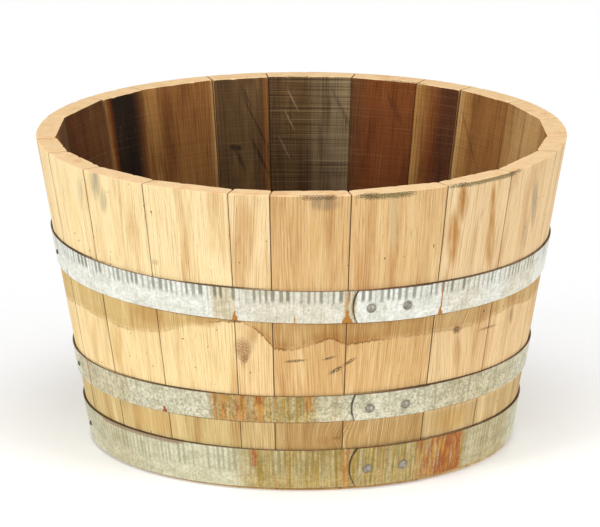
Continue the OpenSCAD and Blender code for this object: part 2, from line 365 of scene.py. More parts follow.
class Nodes:
    """Short calls that add nodes to one node tree. An input is a number, a colour or a socket."""

    def __init__(self, tree: bpy.types.NodeTree) -> None:
        """Starts on a tree."""
        self.tree = tree

    def add(self, kind: str, inputs: dict | None = None, **settings: object) -> bpy.types.Node:
        """Adds a node.

        Args:
            kind: The node's type.
            inputs: Values or sockets for its inputs, by name or number.
            **settings: Values for the node's own settings.
        Returns:
            The node.
        """
        node = self.tree.nodes.new(kind)
        for key, value in settings.items():
            setattr(node, key, value)
        for key, value in (inputs or {}).items():
            self.feed(node.inputs[key], value)
        return node

    def feed(self, socket: Socket, value: Value) -> None:
        """Links a socket into an input, or sets the input to a number, vector or colour.

        Args:
            socket: The input.
            value: What it gets.
        """
        if isinstance(value, Socket):
            self.tree.links.new(value, socket)
        elif isinstance(value, (tuple, list)) and socket.type == "RGBA":
            socket.default_value = (*value[:3], 1)
        else:
            socket.default_value = value

    def math(self, how: str, a: Value, b: Value = 0.0, c: Value = 0.0, clamp: bool = False) -> Socket:
        """Result of a Math node."""
        return self.add("ShaderNodeMath", {0: a, 1: b, 2: c}, operation=how, use_clamp=clamp).outputs[0]

    def times(self, a: Value, b: Value) -> Socket:
        """Product of two numbers."""
        return self.math("MULTIPLY", a, b)

    def vector(self, how: str, a: Value, b: Value) -> Socket:
        """Vector result of a Vector Math node."""
        return self.add("ShaderNodeVectorMath", {0: a, 1: b}, operation=how).outputs[0]

    def length(self, a: Value) -> Socket:
        """Length of a vector."""
        return self.add("ShaderNodeVectorMath", {0: a}, operation="LENGTH").outputs["Value"]

    def parts(self, a: Value) -> tuple[Socket, Socket, Socket]:
        """The three parts of a vector."""
        return tuple(self.add("ShaderNodeSeparateXYZ", {0: a}).outputs)

    def step(self, value: Value, low: float, high: float, to_low: float = 0.0,
             to_high: float = 1.0) -> Socket:
        """Smooth step of a value from to_low at low to to_high at high."""
        inputs = {"Value": value, "From Min": low, "From Max": high, "To Min": to_low, "To Max": to_high}
        return self.add("ShaderNodeMapRange", inputs, interpolation_type="SMOOTHSTEP").outputs[0]

    def mix(self, share: Value, a: Value, b: Value, blend: str = "MIX") -> Socket:
        """Colour a blended towards colour b.

        Args:
            share: How far.
            a: First colour.
            b: Second colour.
            blend: How they blend.
        Returns:
            The colour's socket.
        """
        node = self.add("ShaderNodeMix", data_type="RGBA", blend_type=blend)
        for number, value in ((0, share), (6, a), (7, b)):
            self.feed(node.inputs[number], value)
        return node.outputs[2]

    def noise(self, vector: Value, scale: float | tuple, detail: float = 2.0, rough: float = 0.5) -> Socket:
        """Value of a noise texture.

        Args:
            vector: Where it is read.
            scale: Its scale, or one for each axis, which stretches it.
            detail: Its number of octaves.
            rough: Share of the finer octaves.
        Returns:
            The value's socket, around 0.5.
        """
        if isinstance(scale, tuple):
            vector, scale = self.vector("MULTIPLY", vector, scale), 1.0
        inputs = {"Vector": vector, "Scale": scale, "Detail": detail, "Roughness": rough}
        return self.add("ShaderNodeTexNoise", inputs).outputs["Fac"]

    def ragged(self, value: Value, noise: Socket, amount: float) -> Socket:
        """A value made uneven by a noise: value + amount (noise - 0.5)."""
        return self.math("MULTIPLY_ADD", self.math("SUBTRACT", noise, 0.5), amount, value)

    def attribute(self, name: str, output: str = "Fac") -> Socket:
        """A value that the piece's mesh holds at its points."""
        return self.add("ShaderNodeAttribute", attribute_name=name).outputs[output]

    def here(self) -> Socket:
        """Place of the shaded point in its object's axes."""
        return self.add("ShaderNodeTexCoord").outputs["Object"]

    def group(self, tree: bpy.types.NodeTree, **inputs: Value) -> bpy.types.Node:
        """Places a shared group with its own values.

        Args:
            tree: The group.
            **inputs: Values or sockets for its inputs.
        Returns:
            The group's node.
        """
        node = self.add("ShaderNodeGroup")
        node.node_tree = tree
        for key, value in inputs.items():
            self.feed(node.inputs[key], value)
        return node


class Paint:
    """A colour laid on in coats, each over the last. Coats are written 0 to 255, or are a socket's."""

    def __init__(self, n: Nodes, first: Socket) -> None:
        """Starts from a colour."""
        self.n, self.colour = n, first

    def coat(self, share: Value, colour: Screen | Socket, blend: str = "MIX") -> None:
        """Blends a colour in by a share."""
        value = colour if isinstance(colour, Socket) else linear(colour)
        self.colour = self.n.mix(share, self.colour, value, blend)

    def tint(self, value: Value, low: float, high: float, most: float, colour: Screen | Socket) -> None:
        """Blends a colour in by a smooth step of a value: nothing at low, most at high."""
        self.coat(self.n.step(value, low, high, 0.0, most), colour)

    def shade(self, value: Value, low: float, high: float, most: float, colour: Screen) -> None:
        """Multiplies by a colour, by a smooth step of a value: nothing at low, most at high."""
        self.coat(self.n.step(value, low, high, 0.0, most), colour, "MULTIPLY")


def new_group(name: str, inputs: dict[str, str], outputs: dict[str, str],
              body: Callable[[Nodes, dict, dict], None]) -> bpy.types.NodeTree:
    """Makes a shader node group.

    Args:
        name: Name of the group.
        inputs: Kind of each input socket, by name: Float, Vector or Color.
        outputs: Kind of each output socket, by name.
        body: Function that adds the nodes, given the inputs' sockets and the outputs' sockets.
    Returns:
        The group's tree.
    """
    tree = bpy.data.node_groups.new(name, "ShaderNodeTree")
    for sockets, way in ((inputs, "INPUT"), (outputs, "OUTPUT")):
        for key, kind in sockets.items():
            tree.interface.new_socket(key, in_out=way, socket_type=f"NodeSocket{kind}")
    entry, leave = tree.nodes.new("NodeGroupInput"), tree.nodes.new("NodeGroupOutput")
    body(Nodes(tree), {k: entry.outputs[k] for k in inputs}, {k: leave.inputs[k] for k in outputs})
    return tree


class Finish:
    """A material under construction: its nodes and its Principled shader."""

    def __init__(self, name: str) -> None:
        """Makes an empty material.

        Args:
            name: Name of the material.
        """
        self.material = bpy.data.materials.new(name)
        self.material.use_nodes = True
        self.material.node_tree.nodes.clear()
        self.n = Nodes(self.material.node_tree)
        self.shader = self.n.add("ShaderNodeBsdfPrincipled")
        output = self.n.add("ShaderNodeOutputMaterial")
        self.material.node_tree.links.new(self.shader.outputs[0], output.inputs[0])

    def close(self, colour: Socket, rough: Value, specular: float, height: Socket, strength: float,
              relief: float) -> bpy.types.Material:
        """Feeds the shader.

        Args:
            colour: The base colour.
            rough: Roughness, a number or a socket.
            specular: Level of the reflection.
            height: Height of the relief, from 0 to 1.
            strength: Strength of the relief.
            relief: Depth of the relief in metres.
        Returns:
            The material.
        """
        self.n.feed(self.shader.inputs["Base Color"], colour)
        self.n.feed(self.shader.inputs["Roughness"], rough)
        self.shader.inputs["Specular IOR Level"].default_value = specular
        bump = self.n.add("ShaderNodeBump", {"Strength": strength, "Distance": relief, "Height": height})
        self.n.feed(self.shader.inputs["Normal"], bump.outputs[0])
        return self.material


class Effects:
    """Shader node groups that several materials share."""

    def __init__(self) -> None:
        """Builds the groups."""
        self.figure = new_group(
            "wood_figure",
            {"Grain": "Vector", "Pitch": "Float", "Slant": "Float"},
            {"Rings": "Float", "Fibres": "Float", "Pores": "Float", "Patches": "Float"},
            self._figure)
        self.blot = new_group(
            "blot",
            {"Place": "Vector", "Centre": "Vector", "Size": "Vector", "Taper": "Float", "Tilt": "Float"},
            {"Mask": "Float", "Core": "Float"},
            self._blot)
        self.crust = new_group(
            "rust_crust",
            {"Run": "Vector", "Amount": "Float"},
            {"Mask": "Float", "Shade": "Color"},
            self._crust)

    @staticmethod
    def _figure(n: Nodes, i: dict, o: dict) -> None:
        """Growth rings as a wandering saw tooth across the grain, with fine fibres and pores along it.

        The ring number is (x + Slant y + wander) / Pitch. Its fraction to the fourth power is the dark
        late wood.

        Args:
            n: The group's nodes.
            i: Its inputs.
            o: Its outputs.
        """
        grain, wander_depth = i["Grain"], 30 * MM
        wander = n.times(n.math("SUBTRACT", n.noise(grain, (22.0, 22.0, 2.2), 3.0), 0.5), wander_depth)
        x, y, _ = n.parts(grain)
        across = n.math("ADD", n.math("MULTIPLY_ADD", y, i["Slant"], x), wander)
        ring = n.math("FRACT", n.math("DIVIDE", across, i["Pitch"]))
        late = n.math("POWER", ring, 4.0)
        width = n.noise(grain, (60.0, 60.0, 5.0), 1.0)
        n.feed(o["Rings"], n.times(late, n.step(width, 0.3, 0.65)))
        n.feed(o["Fibres"], n.noise(grain, (900.0, 900.0, 16.0), 3.0, 0.62))
        n.feed(o["Pores"], n.step(n.noise(grain, (1500.0, 1500.0, 70.0), 1.0), 0.66, 0.76))
        n.feed(o["Patches"], n.noise(grain, (34.0, 34.0, 5.0), 3.0, 0.55))

    @staticmethod
    def _blot(n: Nodes, i: dict, o: dict) -> None:
        """A spot, 1 at its centre and 0 where the tilted (place - centre) / size is 1 long.

        Taper makes it wider above and narrower below: the width is times 1 + Taper y, with y that height.

        Args:
            n: The group's nodes.
            i: Its inputs.
            o: Its outputs.
        """
        turned = {"Vector": i["Place"], "Center": i["Centre"], "Angle": n.times(i["Tilt"], -1.0)}
        level = n.add("ShaderNodeVectorRotate", turned, rotation_type="Z_AXIS").outputs[0]
        x, y, _ = n.parts(n.vector("DIVIDE", n.vector("SUBTRACT", level, i["Centre"]), i["Size"]))
        width = n.math("MAXIMUM", n.math("MULTIPLY_ADD", y, i["Taper"], 1.0), 0.12)
        away = n.add("ShaderNodeCombineXYZ", {0: n.math("DIVIDE", x, width), 1: y}).outputs[0]
        reach = n.length(away)
        n.feed(o["Mask"], n.step(reach, 1.0, 0.35))
        n.feed(o["Core"], n.step(reach, 0.6, 0.3))

    @staticmethod
    def _crust(n: Nodes, i: dict, o: dict) -> None:
        """Rust in runs down the iron: long noise cut off at a level that falls as Amount grows.

        It turns darker and redder where Amount is large.

        Args:
            n: The group's nodes.
            i: Its inputs.
            o: Its outputs.
        """
        run, amount = i["Run"], i["Amount"]
        runs = n.noise(run, (150.0, 150.0, 14.0), 4.0, 0.6)
        grit = n.noise(run, (420.0, 420.0, 240.0), 3.0, 0.65)
        level = n.math("ADD", n.times(runs, 0.72), n.times(grit, 0.28))
        over = n.math("SUBTRACT", n.math("MULTIPLY_ADD", amount, 0.5, level), 0.74)
        n.feed(o["Mask"], n.times(n.step(over, -0.10, 0.10), n.step(amount, 0.02, 0.2)))
        hue = n.noise(run, (150.0, 150.0, 40.0), 3.0, 0.6)
        hue = n.math("SUBTRACT", hue, n.step(amount, 0.45, 0.85, 0.0, 0.10))
        n.feed(o["Shade"], n.mix(n.step(hue, 0.40, 0.60), linear(RUST_DEEP), linear(RUST_PALE)))


@dataclass(frozen=True)
class Mark:
    """A placed mark on the wood: direction, then height and halves of its size in millimetres.

    taper makes it wider above than below, and tilt turns it, in degrees.
    """

    direction: float
    z: float
    half_width: float
    half_height: float
    colour: Screen
    strength: float
    taper: float = 0.0
    tilt: float = 0.0


STAINS = (
    Mark(306.5, 383, 12, 36, (176, 120, 50), 1.0),
    Mark(305.2, 335, 14, 52, (182, 126, 54), 0.95),
    Mark(315.6, 366, 8, 46, (180, 122, 50), 1.0),
    Mark(316.5, 318, 12, 48, (180, 128, 62), 0.85),
    Mark(298.5, 300, 9, 55, (196, 160, 106), 0.4),
    Mark(332.5, 352, 11, 46, (128, 122, 108), 0.65),
    Mark(330.3, 310, 9, 30, (140, 128, 108), 0.4),
    Mark(220.6, 396, 13, 30, (132, 132, 116), 0.65),
    Mark(222.5, 374, 10, 24, (138, 132, 112), 0.45),
    Mark(214.0, 372, 11, 30, (176, 166, 132), 0.5),
    Mark(209.5, 330, 8, 50, (246, 214, 128), 0.5),
    Mark(274.9, 399, 26, 14, (118, 104, 82), 0.6),
    Mark(290.0, 372, 8, 60, (182, 168, 132), 0.45),
    Mark(272.5, 345, 7, 50, (204, 158, 92), 0.5),
    Mark(232.3, 228, 44, 20, (178, 134, 70), 0.75),
    Mark(247.2, 232, 30, 13, (176, 130, 68), 0.6),
    Mark(219.5, 176, 16, 44, (196, 152, 80), 0.6),
    Mark(214.5, 160, 10, 42, (206, 176, 122), 0.5),
    Mark(310.6, 172, 10, 32, (178, 134, 78), 0.55),
    Mark(330.6, 200, 7, 17, (112, 84, 52), 0.6),
    Mark(250.6, 350, 12, 36, (214, 172, 112), 0.45),
    Mark(275.6, 70, 12, 9, (146, 100, 52), 0.6),
    Mark(258.7, 219, 11, 18, (172, 126, 66), 0.6),
    Mark(209.0, 163, 16, 44, (206, 164, 104), 0.5),
    Mark(229.0, 78, 60, 22, (196, 154, 90), 0.5),
    Mark(311.0, 78, 42, 22, (186, 142, 64), 0.5),
)
KNOTS = (
    Mark(309.4, 205, 9, 7.5, (84, 54, 30), 0.95),
    Mark(278.9, 73, 8, 3, (110, 76, 40), 0.7),
)
GRIME = (
    Mark(256.3, 193, 13, 25, (180, 138, 92), 0.8, 0.9),
    Mark(256.6, 183, 5, 8, (104, 66, 38), 0.7),
    Mark(235.7, 303, 8, 6, (176, 150, 112), 0.6),
    Mark(262.5, 103, 12, 5, (150, 116, 70), 0.5),
    Mark(320.5, 196, 26, 2.4, (128, 88, 46), 0.8),
)
# Dark spots where the wood has holes: painted shade standing in for the hollows, which the mesh does not
# have.
HOLES = (
    Mark(224.2, 387, 1.7, 1.7, (40, 26, 14), 1.0),
    Mark(208.3, 311, 2.6, 2.0, (30, 20, 12), 1.0),
    Mark(216.9, 317, 1.6, 2.4, (52, 34, 18), 1.0),
    Mark(220.9, 199, 2.1, 1.8, (44, 28, 16), 1.0),
    Mark(241.1, 202, 2.4, 2.0, (24, 16, 10), 1.0),
    Mark(250.1, 220, 1.8, 1.8, (44, 28, 16), 1.0),
    Mark(243.7, 164, 1.8, 1.5, (24, 16, 10), 1.0),
    Mark(227.5, 59, 1.3, 4.0, (30, 20, 12), 1.0),
    Mark(300.1, 329, 1.6, 6.5, (70, 48, 26), 0.9),
    Mark(256.4, 316, 1.4, 3.0, (90, 60, 36), 0.8),
)
SCUFFS = (
    Mark(268.6, 182.4, 19, 2.8, (44, 30, 17), 1.0, tilt=6),
    Mark(276.5, 185.8, 12, 2.2, (34, 23, 14), 1.0, tilt=14),
    Mark(278.2, 168.8, 14, 3.8, (26, 18, 12), 1.0, tilt=29),
    Mark(281.4, 179.6, 13, 3.2, (26, 18, 12), 1.0, tilt=31),
    Mark(256.3, 191, 14, 25, (128, 84, 48), 0.7, 0.9),
)
WHORLS = ((309.4, 205), (278.9, 73), (274.0, 71))  # where the grain bends: degrees and millimetres
INSIDE_MARKS = (
    Mark(107.2, 316, 12, 6, (24, 16, 11), 0.95),
    Mark(106.2, 300, 5, 22, (38, 26, 17), 0.7),
    Mark(101.8, 350, 3, 60, (40, 27, 17), 0.75),
    Mark(100.6, 300, 4, 40, (36, 24, 16), 0.75),
    Mark(103.9, 385, 4, 26, (46, 32, 20), 0.6),
    Mark(92.1, 377, 2.0, 20, (152, 132, 104), 0.6),
    Mark(93.0, 350, 2.2, 18, (146, 126, 98), 0.55),
    Mark(94.3, 312, 2.0, 22, (140, 120, 92), 0.5),
    Mark(79.6, 362, 5, 46, (66, 52, 34), 0.5),
    Mark(43.3, 350, 4, 50, (84, 50, 24), 0.5),
    Mark(66.0, 372, 7, 30, (64, 36, 20), 0.5),
)


def lay_marks(paint: Paint, effects: Effects, side: Side, place: Socket, marks: Sequence[Mark],
              weight: Socket | float, output: str = "Mask") -> None:
    """Lays marks on a colour, each by its blot times a weight.

    Args:
        paint: The colour.
        effects: The shared groups.
        side: The side that places are measured on.
        place: The place of the shaded point.
        marks: The marks, from the first coat to the last.
        weight: Weight of the blots over the surface.
        output: Mask for a soft edge, Core for a firm one.
    """
    n = paint.n
    for mark in marks:
        x, z = side.place(mark.direction, mark.z * MM)
        size = (mark.half_width * MM, mark.half_height * MM, 1.0)
        blot = n.group(effects.blot, Place=place, Centre=(x, z, 0.0), Size=size, Taper=mark.taper,
                       Tilt=math.radians(mark.tilt))
        paint.coat(n.times(n.times(blot.outputs[output], weight), mark.strength), mark.colour)


@dataclass(frozen=True)
class OutsideWood:
    """Weathered outside of the staves, with its stains, knots, holes and the water line."""

    effects: Effects
    side: Side
    pitch: float = 3.6 * MM
    seam_width: float = 1.1 * MM
    line_width: float = 1.3 * MM
    bleached: Screen = (255, 232, 180)
    pale_fibre: Screen = (255, 236, 196)
    fibre: Screen = (200, 164, 116)
    crack: Screen = (128, 88, 48)
    speck: Screen = (74, 48, 26)
    wet: Screen = (206, 164, 96)
    tide_edge: Screen = (126, 88, 38)
    joint: Screen = (58, 40, 22)
    hoop_dirt_and_shade: Screen = (74, 48, 24)
    shadow_under_hoop: Screen = (118, 78, 38)
    moss: Screen = (142, 126, 76)
    dark_moss: Screen = (66, 60, 34)
    soot: Screen = (58, 48, 36)

    def build(self) -> bpy.types.Material:
        """Makes the material.

        Returns:
            The material.
        """
        finish = Finish("outside_wood")
        n = finish.n
        grain, place = n.attribute("grain", "Vector"), n.attribute("place", "Vector")
        figure = n.group(self.effects.figure, Grain=grain, Pitch=self.pitch, Slant=0.35).outputs
        fibres = figure["Fibres"]
        paint = Paint(n, n.attribute("tone", "Color"))
        paint.shade(figure["Patches"], 0.50, 0.74, 0.60, (206, 172, 124))
        paint.tint(figure["Patches"], 0.47, 0.25, 0.35, self.bleached)
        paint.coat(n.times(figure["Rings"], 0.55), (206, 162, 104), "MULTIPLY")
        paint.shade(fibres, 0.50, 0.72, 0.70, self.fibre)
        paint.tint(fibres, 0.48, 0.30, 0.30, self.pale_fibre)
        paint.tint(n.noise(grain, (620.0, 620.0, 26.0), 2.0, 0.6), 0.66, 0.74, 0.55, self.crack)
        paint.coat(n.times(figure["Pores"], 0.35), (120, 84, 48))

        fray = n.noise(place, (300.0, 75.0, 1.0), 4.0, 0.6)
        self._water_line(paint, place, fray)
        streaks = n.noise(place, (170.0, 18.0, 1.0), 3.0, 0.6)
        grit = n.noise(place, (700.0, 700.0, 1.0), 2.0, 0.7)
        for marks, weight in ((STAINS, n.step(streaks, 0.30, 0.62, 0.35, 1.0)),
                              (KNOTS + GRIME, n.step(grit, 0.36, 0.58, 0.25, 1.0)),
                              (SCUFFS, n.step(grit, 0.42, 0.54))):
            lay_marks(paint, self.effects, self.side, place, marks, weight)
        # holes: painted shade in place of hollows in the mesh
        lay_marks(paint, self.effects, self.side, place, HOLES, 1.0, "Core")
        paint.tint(n.noise(place, (190.0, 120.0, 1.0), 1.0), 0.765, 0.79, 0.8, self.speck)
        self._dirt_and_shade(paint, fray, grit)
        height = n.math("SUBTRACT", n.times(fibres, 0.7), n.times(figure["Rings"], 0.5))
        return finish.close(paint.colour, 0.72, 0.25, height, 0.35, 0.4 * MM)

    def _water_line(self, paint: Paint, place: Socket, fray: Socket) -> None:
        """Brown tide mark round the staves, with darker wood above it up to the hoop.

        Args:
            paint: The wood's colour.
            place: Place of the shaded point.
            fray: Noise that frays the mark.
        """
        n = paint.n
        wavy = n.ragged(n.attribute("water"), fray, 12 * MM)
        broken = n.noise(place, (26.0, 26.0, 1.0), 3.0, 0.6)
        tide = n.attribute("tide")
        above = n.times(n.step(wavy, 18 * MM, 0.0), n.step(wavy, -0.6 * MM, 0.6 * MM))
        above = n.times(above, n.step(broken, 0.36, 0.60, 0.15, 0.6))
        paint.coat(n.times(above, tide), self.wet, "MULTIPLY")
        line = n.step(n.math("ABSOLUTE", wavy), self.line_width * 1.7, self.line_width * 0.3)
        line = n.times(line, n.step(broken, 0.38, 0.56, 0.12, 0.9))
        paint.coat(n.times(line, tide), self.tide_edge)

    def _dirt_and_shade(self, paint: Paint, fray: Socket, grit: Socket) -> None:
        """Dark joints, dirt and painted shade above the hoops, painted shadow below them, and moss and soot
        on the rim's outer edge.

        Args:
            paint: The wood's colour.
            fray: Noise that frays the dirt.
            grit: Finer noise that breaks it up.
        """
        n = paint.n
        seam = n.step(n.attribute("edge"), self.seam_width, 0.2 * MM)
        paint.coat(n.times(seam, n.attribute("seam")), self.joint)
        # dirt and painted shade on the staves along each hoop's upper edge, where the hoop meets the wood
        paint.tint(n.ragged(n.attribute("above"), fray, 1.6 * MM), 1.9 * MM, 0.8 * MM, 0.9, self.hoop_dirt_and_shade)
        # painted shadow on the staves under each hoop's lower edge
        paint.tint(n.ragged(n.attribute("below"), grit, 1.6 * MM), 2.6 * MM, 0.8 * MM, 0.7, self.shadow_under_hoop)
        green = n.mix(n.step(grit, 0.44, 0.58), linear(self.moss), linear(self.dark_moss))
        paint.tint(n.ragged(n.attribute("moss"), grit, 1.5), 0.40, 0.66, 0.85, green)
        paint.tint(n.ragged(n.attribute("soot"), grit, 1.6), 0.52, 0.76, 0.9, self.soot)


@dataclass(frozen=True)
class InsideWood:
    """Inside of the staves, stained by wine and marked across by the saw."""

    effects: Effects
    side: Side
    pitch: float = 5 * MM
    pale_patch: Screen = (196, 150, 94)
    cut: Screen = (120, 104, 88)
    pale_cut: Screen = (190, 164, 124)
    fleck: Screen = (206, 160, 100)
    dark_fleck: Screen = (34, 22, 14)
    joint: Screen = (34, 22, 13)

    def build(self) -> bpy.types.Material:
        """Makes the material.

        Returns:
            The material.
        """
        finish = Finish("inside_wood")
        n = finish.n
        grain, place = n.attribute("grain", "Vector"), n.attribute("place", "Vector")
        figure = n.group(self.effects.figure, Grain=grain, Pitch=self.pitch, Slant=0.2).outputs
        fibres = figure["Fibres"]
        paint = Paint(n, n.attribute("tone", "Color"))
        paint.shade(figure["Patches"], 0.48, 0.74, 0.7, (160, 128, 104))
        paint.tint(figure["Patches"], 0.46, 0.26, 0.16, self.pale_patch)
        paint.shade(fibres, 0.48, 0.70, 0.6, (140, 108, 80))
        paint.coat(n.times(figure["Rings"], 0.5), (130, 92, 62), "MULTIPLY")
        saw, sawn = n.noise(place, (5.0, 520.0, 1.0), 2.0, 0.6), n.attribute("sawn")
        paint.coat(n.times(n.step(saw, 0.50, 0.66, 0.0, 0.6), sawn), self.cut, "MULTIPLY")
        paint.coat(n.times(n.step(saw, 0.44, 0.30, 0.0, 0.22), sawn), self.pale_cut)
        lay_marks(paint, self.effects, self.side, place, INSIDE_MARKS, n.step(fibres, 0.34, 0.56, 0.3, 1.0))
        flecks = n.noise(place, (180.0, 130.0, 1.0), 4.0, 0.75)
        paint.tint(flecks, 0.62, 0.74, 0.22, self.fleck)
        paint.tint(flecks, 0.36, 0.26, 0.6, self.dark_fleck)
        paint.tint(n.attribute("edge"), 1.4 * MM, 0.3 * MM, 0.75, self.joint)
        height = n.math("ADD", n.times(fibres, 0.5), n.times(saw, 0.5))
        return finish.close(paint.colour, 0.72, 0.10, height, 0.4, 0.4 * MM)


@dataclass(frozen=True)
class EndGrain:
    """Freshly sawn end of the staves: pale wood with rings across it and scratches of the saw."""

    effects: Effects
    pitch: float = 2.9 * MM
    scratch: Screen = (206, 156, 104)
    joint: Screen = (112, 78, 44)
    soot: Screen = (62, 46, 30)

    def build(self) -> bpy.types.Material:
        """Makes the material.

        Returns:
            The material.
        """
        finish = Finish("end_grain")
        n = finish.n
        grain = n.attribute("grain", "Vector")
        figure = n.group(self.effects.figure, Grain=grain, Pitch=self.pitch, Slant=0.9).outputs
        paint = Paint(n, n.attribute("tone", "Color"))
        paint.coat(n.times(figure["Rings"], 0.55), (206, 146, 88), "MULTIPLY")
        paint.shade(figure["Fibres"], 0.52, 0.70, 0.30, (190, 140, 92))
        paint.shade(figure["Patches"], 0.50, 0.72, 0.35, (222, 176, 118))
        saw = n.noise(grain, (40.0, 900.0, 1.0))
        paint.tint(saw, 0.56, 0.70, 0.25, self.scratch)
        paint.tint(n.attribute("edge"), 1.3 * MM, 0.3 * MM, 0.6, self.joint)
        worn = n.ragged(n.attribute("soot"), n.noise(grain, 520.0, 2.0, 0.7), 1.5)
        paint.tint(worn, 0.50, 0.75, 0.85, self.soot)
        return finish.close(paint.colour, 0.8, 0.2, saw, 0.35, 0.4 * MM)


@dataclass(frozen=True)
class StaveLook:
    """Finish of one stave.

    inside holds tones with the share of the width at which each stands, from the start joint. seam is how
    dark its end joint is, and sawn how clear the marks of the saw across its inside are.
    """

    outside: Tone
    inside: tuple[tuple[float, Tone], ...]
    seam: float = 0.55
    sawn: float = 0.25

    def inside_colour(self, across: np.ndarray) -> np.ndarray:
        """Linear colours of the inside, blended between the tones.

        Args:
            across: Shares of the width.
        Returns:
            Array of shape (n, 3).
        """
        places = [place for place, _ in self.inside]
        colours = np.array([linear(tone.value) for _, tone in self.inside])
        return np.stack([np.interp(across, places, colours[:, k]) for k in range(3)], axis=1)


LOOKS = (
    StaveLook(Tone.SAND, ((0, Tone.OCHRE), (0.6, Tone.OCHRE), (1, Tone.AMBER))),
    StaveLook(Tone.HONEY, ((0, Tone.TOBACCO), (0.6, Tone.TOBACCO), (0.9, Tone.AMBER), (0.94, Tone.OCHRE))),
    StaveLook(Tone.SAND, ((0, Tone.MAHOGANY), (0.3, Tone.MAHOGANY), (0.6, Tone.RUSSET), (0.9, Tone.AMBER))),
    StaveLook(Tone.HONEY, ((0, Tone.RUSSET), (0.7, Tone.RUSSET), (1, Tone.UMBER)), sawn=0.35),
    StaveLook(Tone.STRAW, ((0, Tone.SLATE), (0.25, Tone.SLATE), (0.6, Tone.SMOKE)), sawn=1.0),
    StaveLook(Tone.HONEY, ((0, Tone.SMOKE), (0.05, Tone.TOBACCO), (0.13, Tone.UMBER), (0.2, Tone.SMOKE))),
    StaveLook(Tone.SAND, ((0.02, Tone.OCHRE), (0.08, Tone.TOBACCO), (0.6, Tone.TOBACCO), (1, Tone.AMBER))),
    StaveLook(Tone.PALE, ((0, Tone.TOBACCO), (0.12, Tone.UMBER), (0.3, Tone.SOOT), (0.8, Tone.SOOT),
                          (0.9, Tone.RUSSET), (1, Tone.AMBER))),
    StaveLook(Tone.STRAW, ((0, Tone.UMBER), (0.4, Tone.UMBER), (1, Tone.MAHOGANY))),
    StaveLook(Tone.PALE, ((0, Tone.SMOKE), (0.5, Tone.UMBER), (1, Tone.TOBACCO))),
    StaveLook(Tone.PALE, ((0, Tone.RUSSET), (1, Tone.AMBER)), seam=0.8),
    StaveLook(Tone.PALE, ((0, Tone.TOBACCO), (0.8, Tone.RUSSET), (0.95, Tone.OCHRE)), seam=0.9),
    StaveLook(Tone.PALE, ((0, Tone.SMOKE), (1, Tone.UMBER)), sawn=0.8),
    StaveLook(Tone.PALE, ((0, Tone.RUSSET), (1, Tone.MAHOGANY)), seam=0.6),
    StaveLook(Tone.STRAW, ((0, Tone.UMBER), (1, Tone.TOBACCO)), seam=0.95),
    StaveLook(Tone.TAN, ((0, Tone.MAHOGANY), (0.7, Tone.SMOKE), (0.9, Tone.SOOT)), seam=1.0),
    StaveLook(Tone.HONEY, ((0, Tone.AMBER), (0.5, Tone.TOBACCO), (1, Tone.RUSSET)), seam=1.0),
    StaveLook(Tone.SAND, ((0, Tone.RUSSET), (1, Tone.UMBER)), seam=0.7, sawn=0.5),
    StaveLook(Tone.SAND, ((0, Tone.UMBER), (1, Tone.SLATE)), seam=0.4, sawn=0.9),
    StaveLook(Tone.SAND, ((0, Tone.TOBACCO), (1, Tone.OCHRE))),
    StaveLook(Tone.SAND, ((0, Tone.RUSSET), (0.3, Tone.AMBER), (1, Tone.OCHRE))),
)


@dataclass(frozen=True)
class StavePoints:
    """Where the points of one stave lie, before it is bent and worn.

    number is the stave's, from 0, and width its width at the rim. The arrays hold the distance along the
    width, the share of the thickness from the outside, the height, and the direction in degrees.
    """

    number: int
    width: float
    s: np.ndarray
    share: np.ndarray
    z: np.ndarray
    direction: np.ndarray


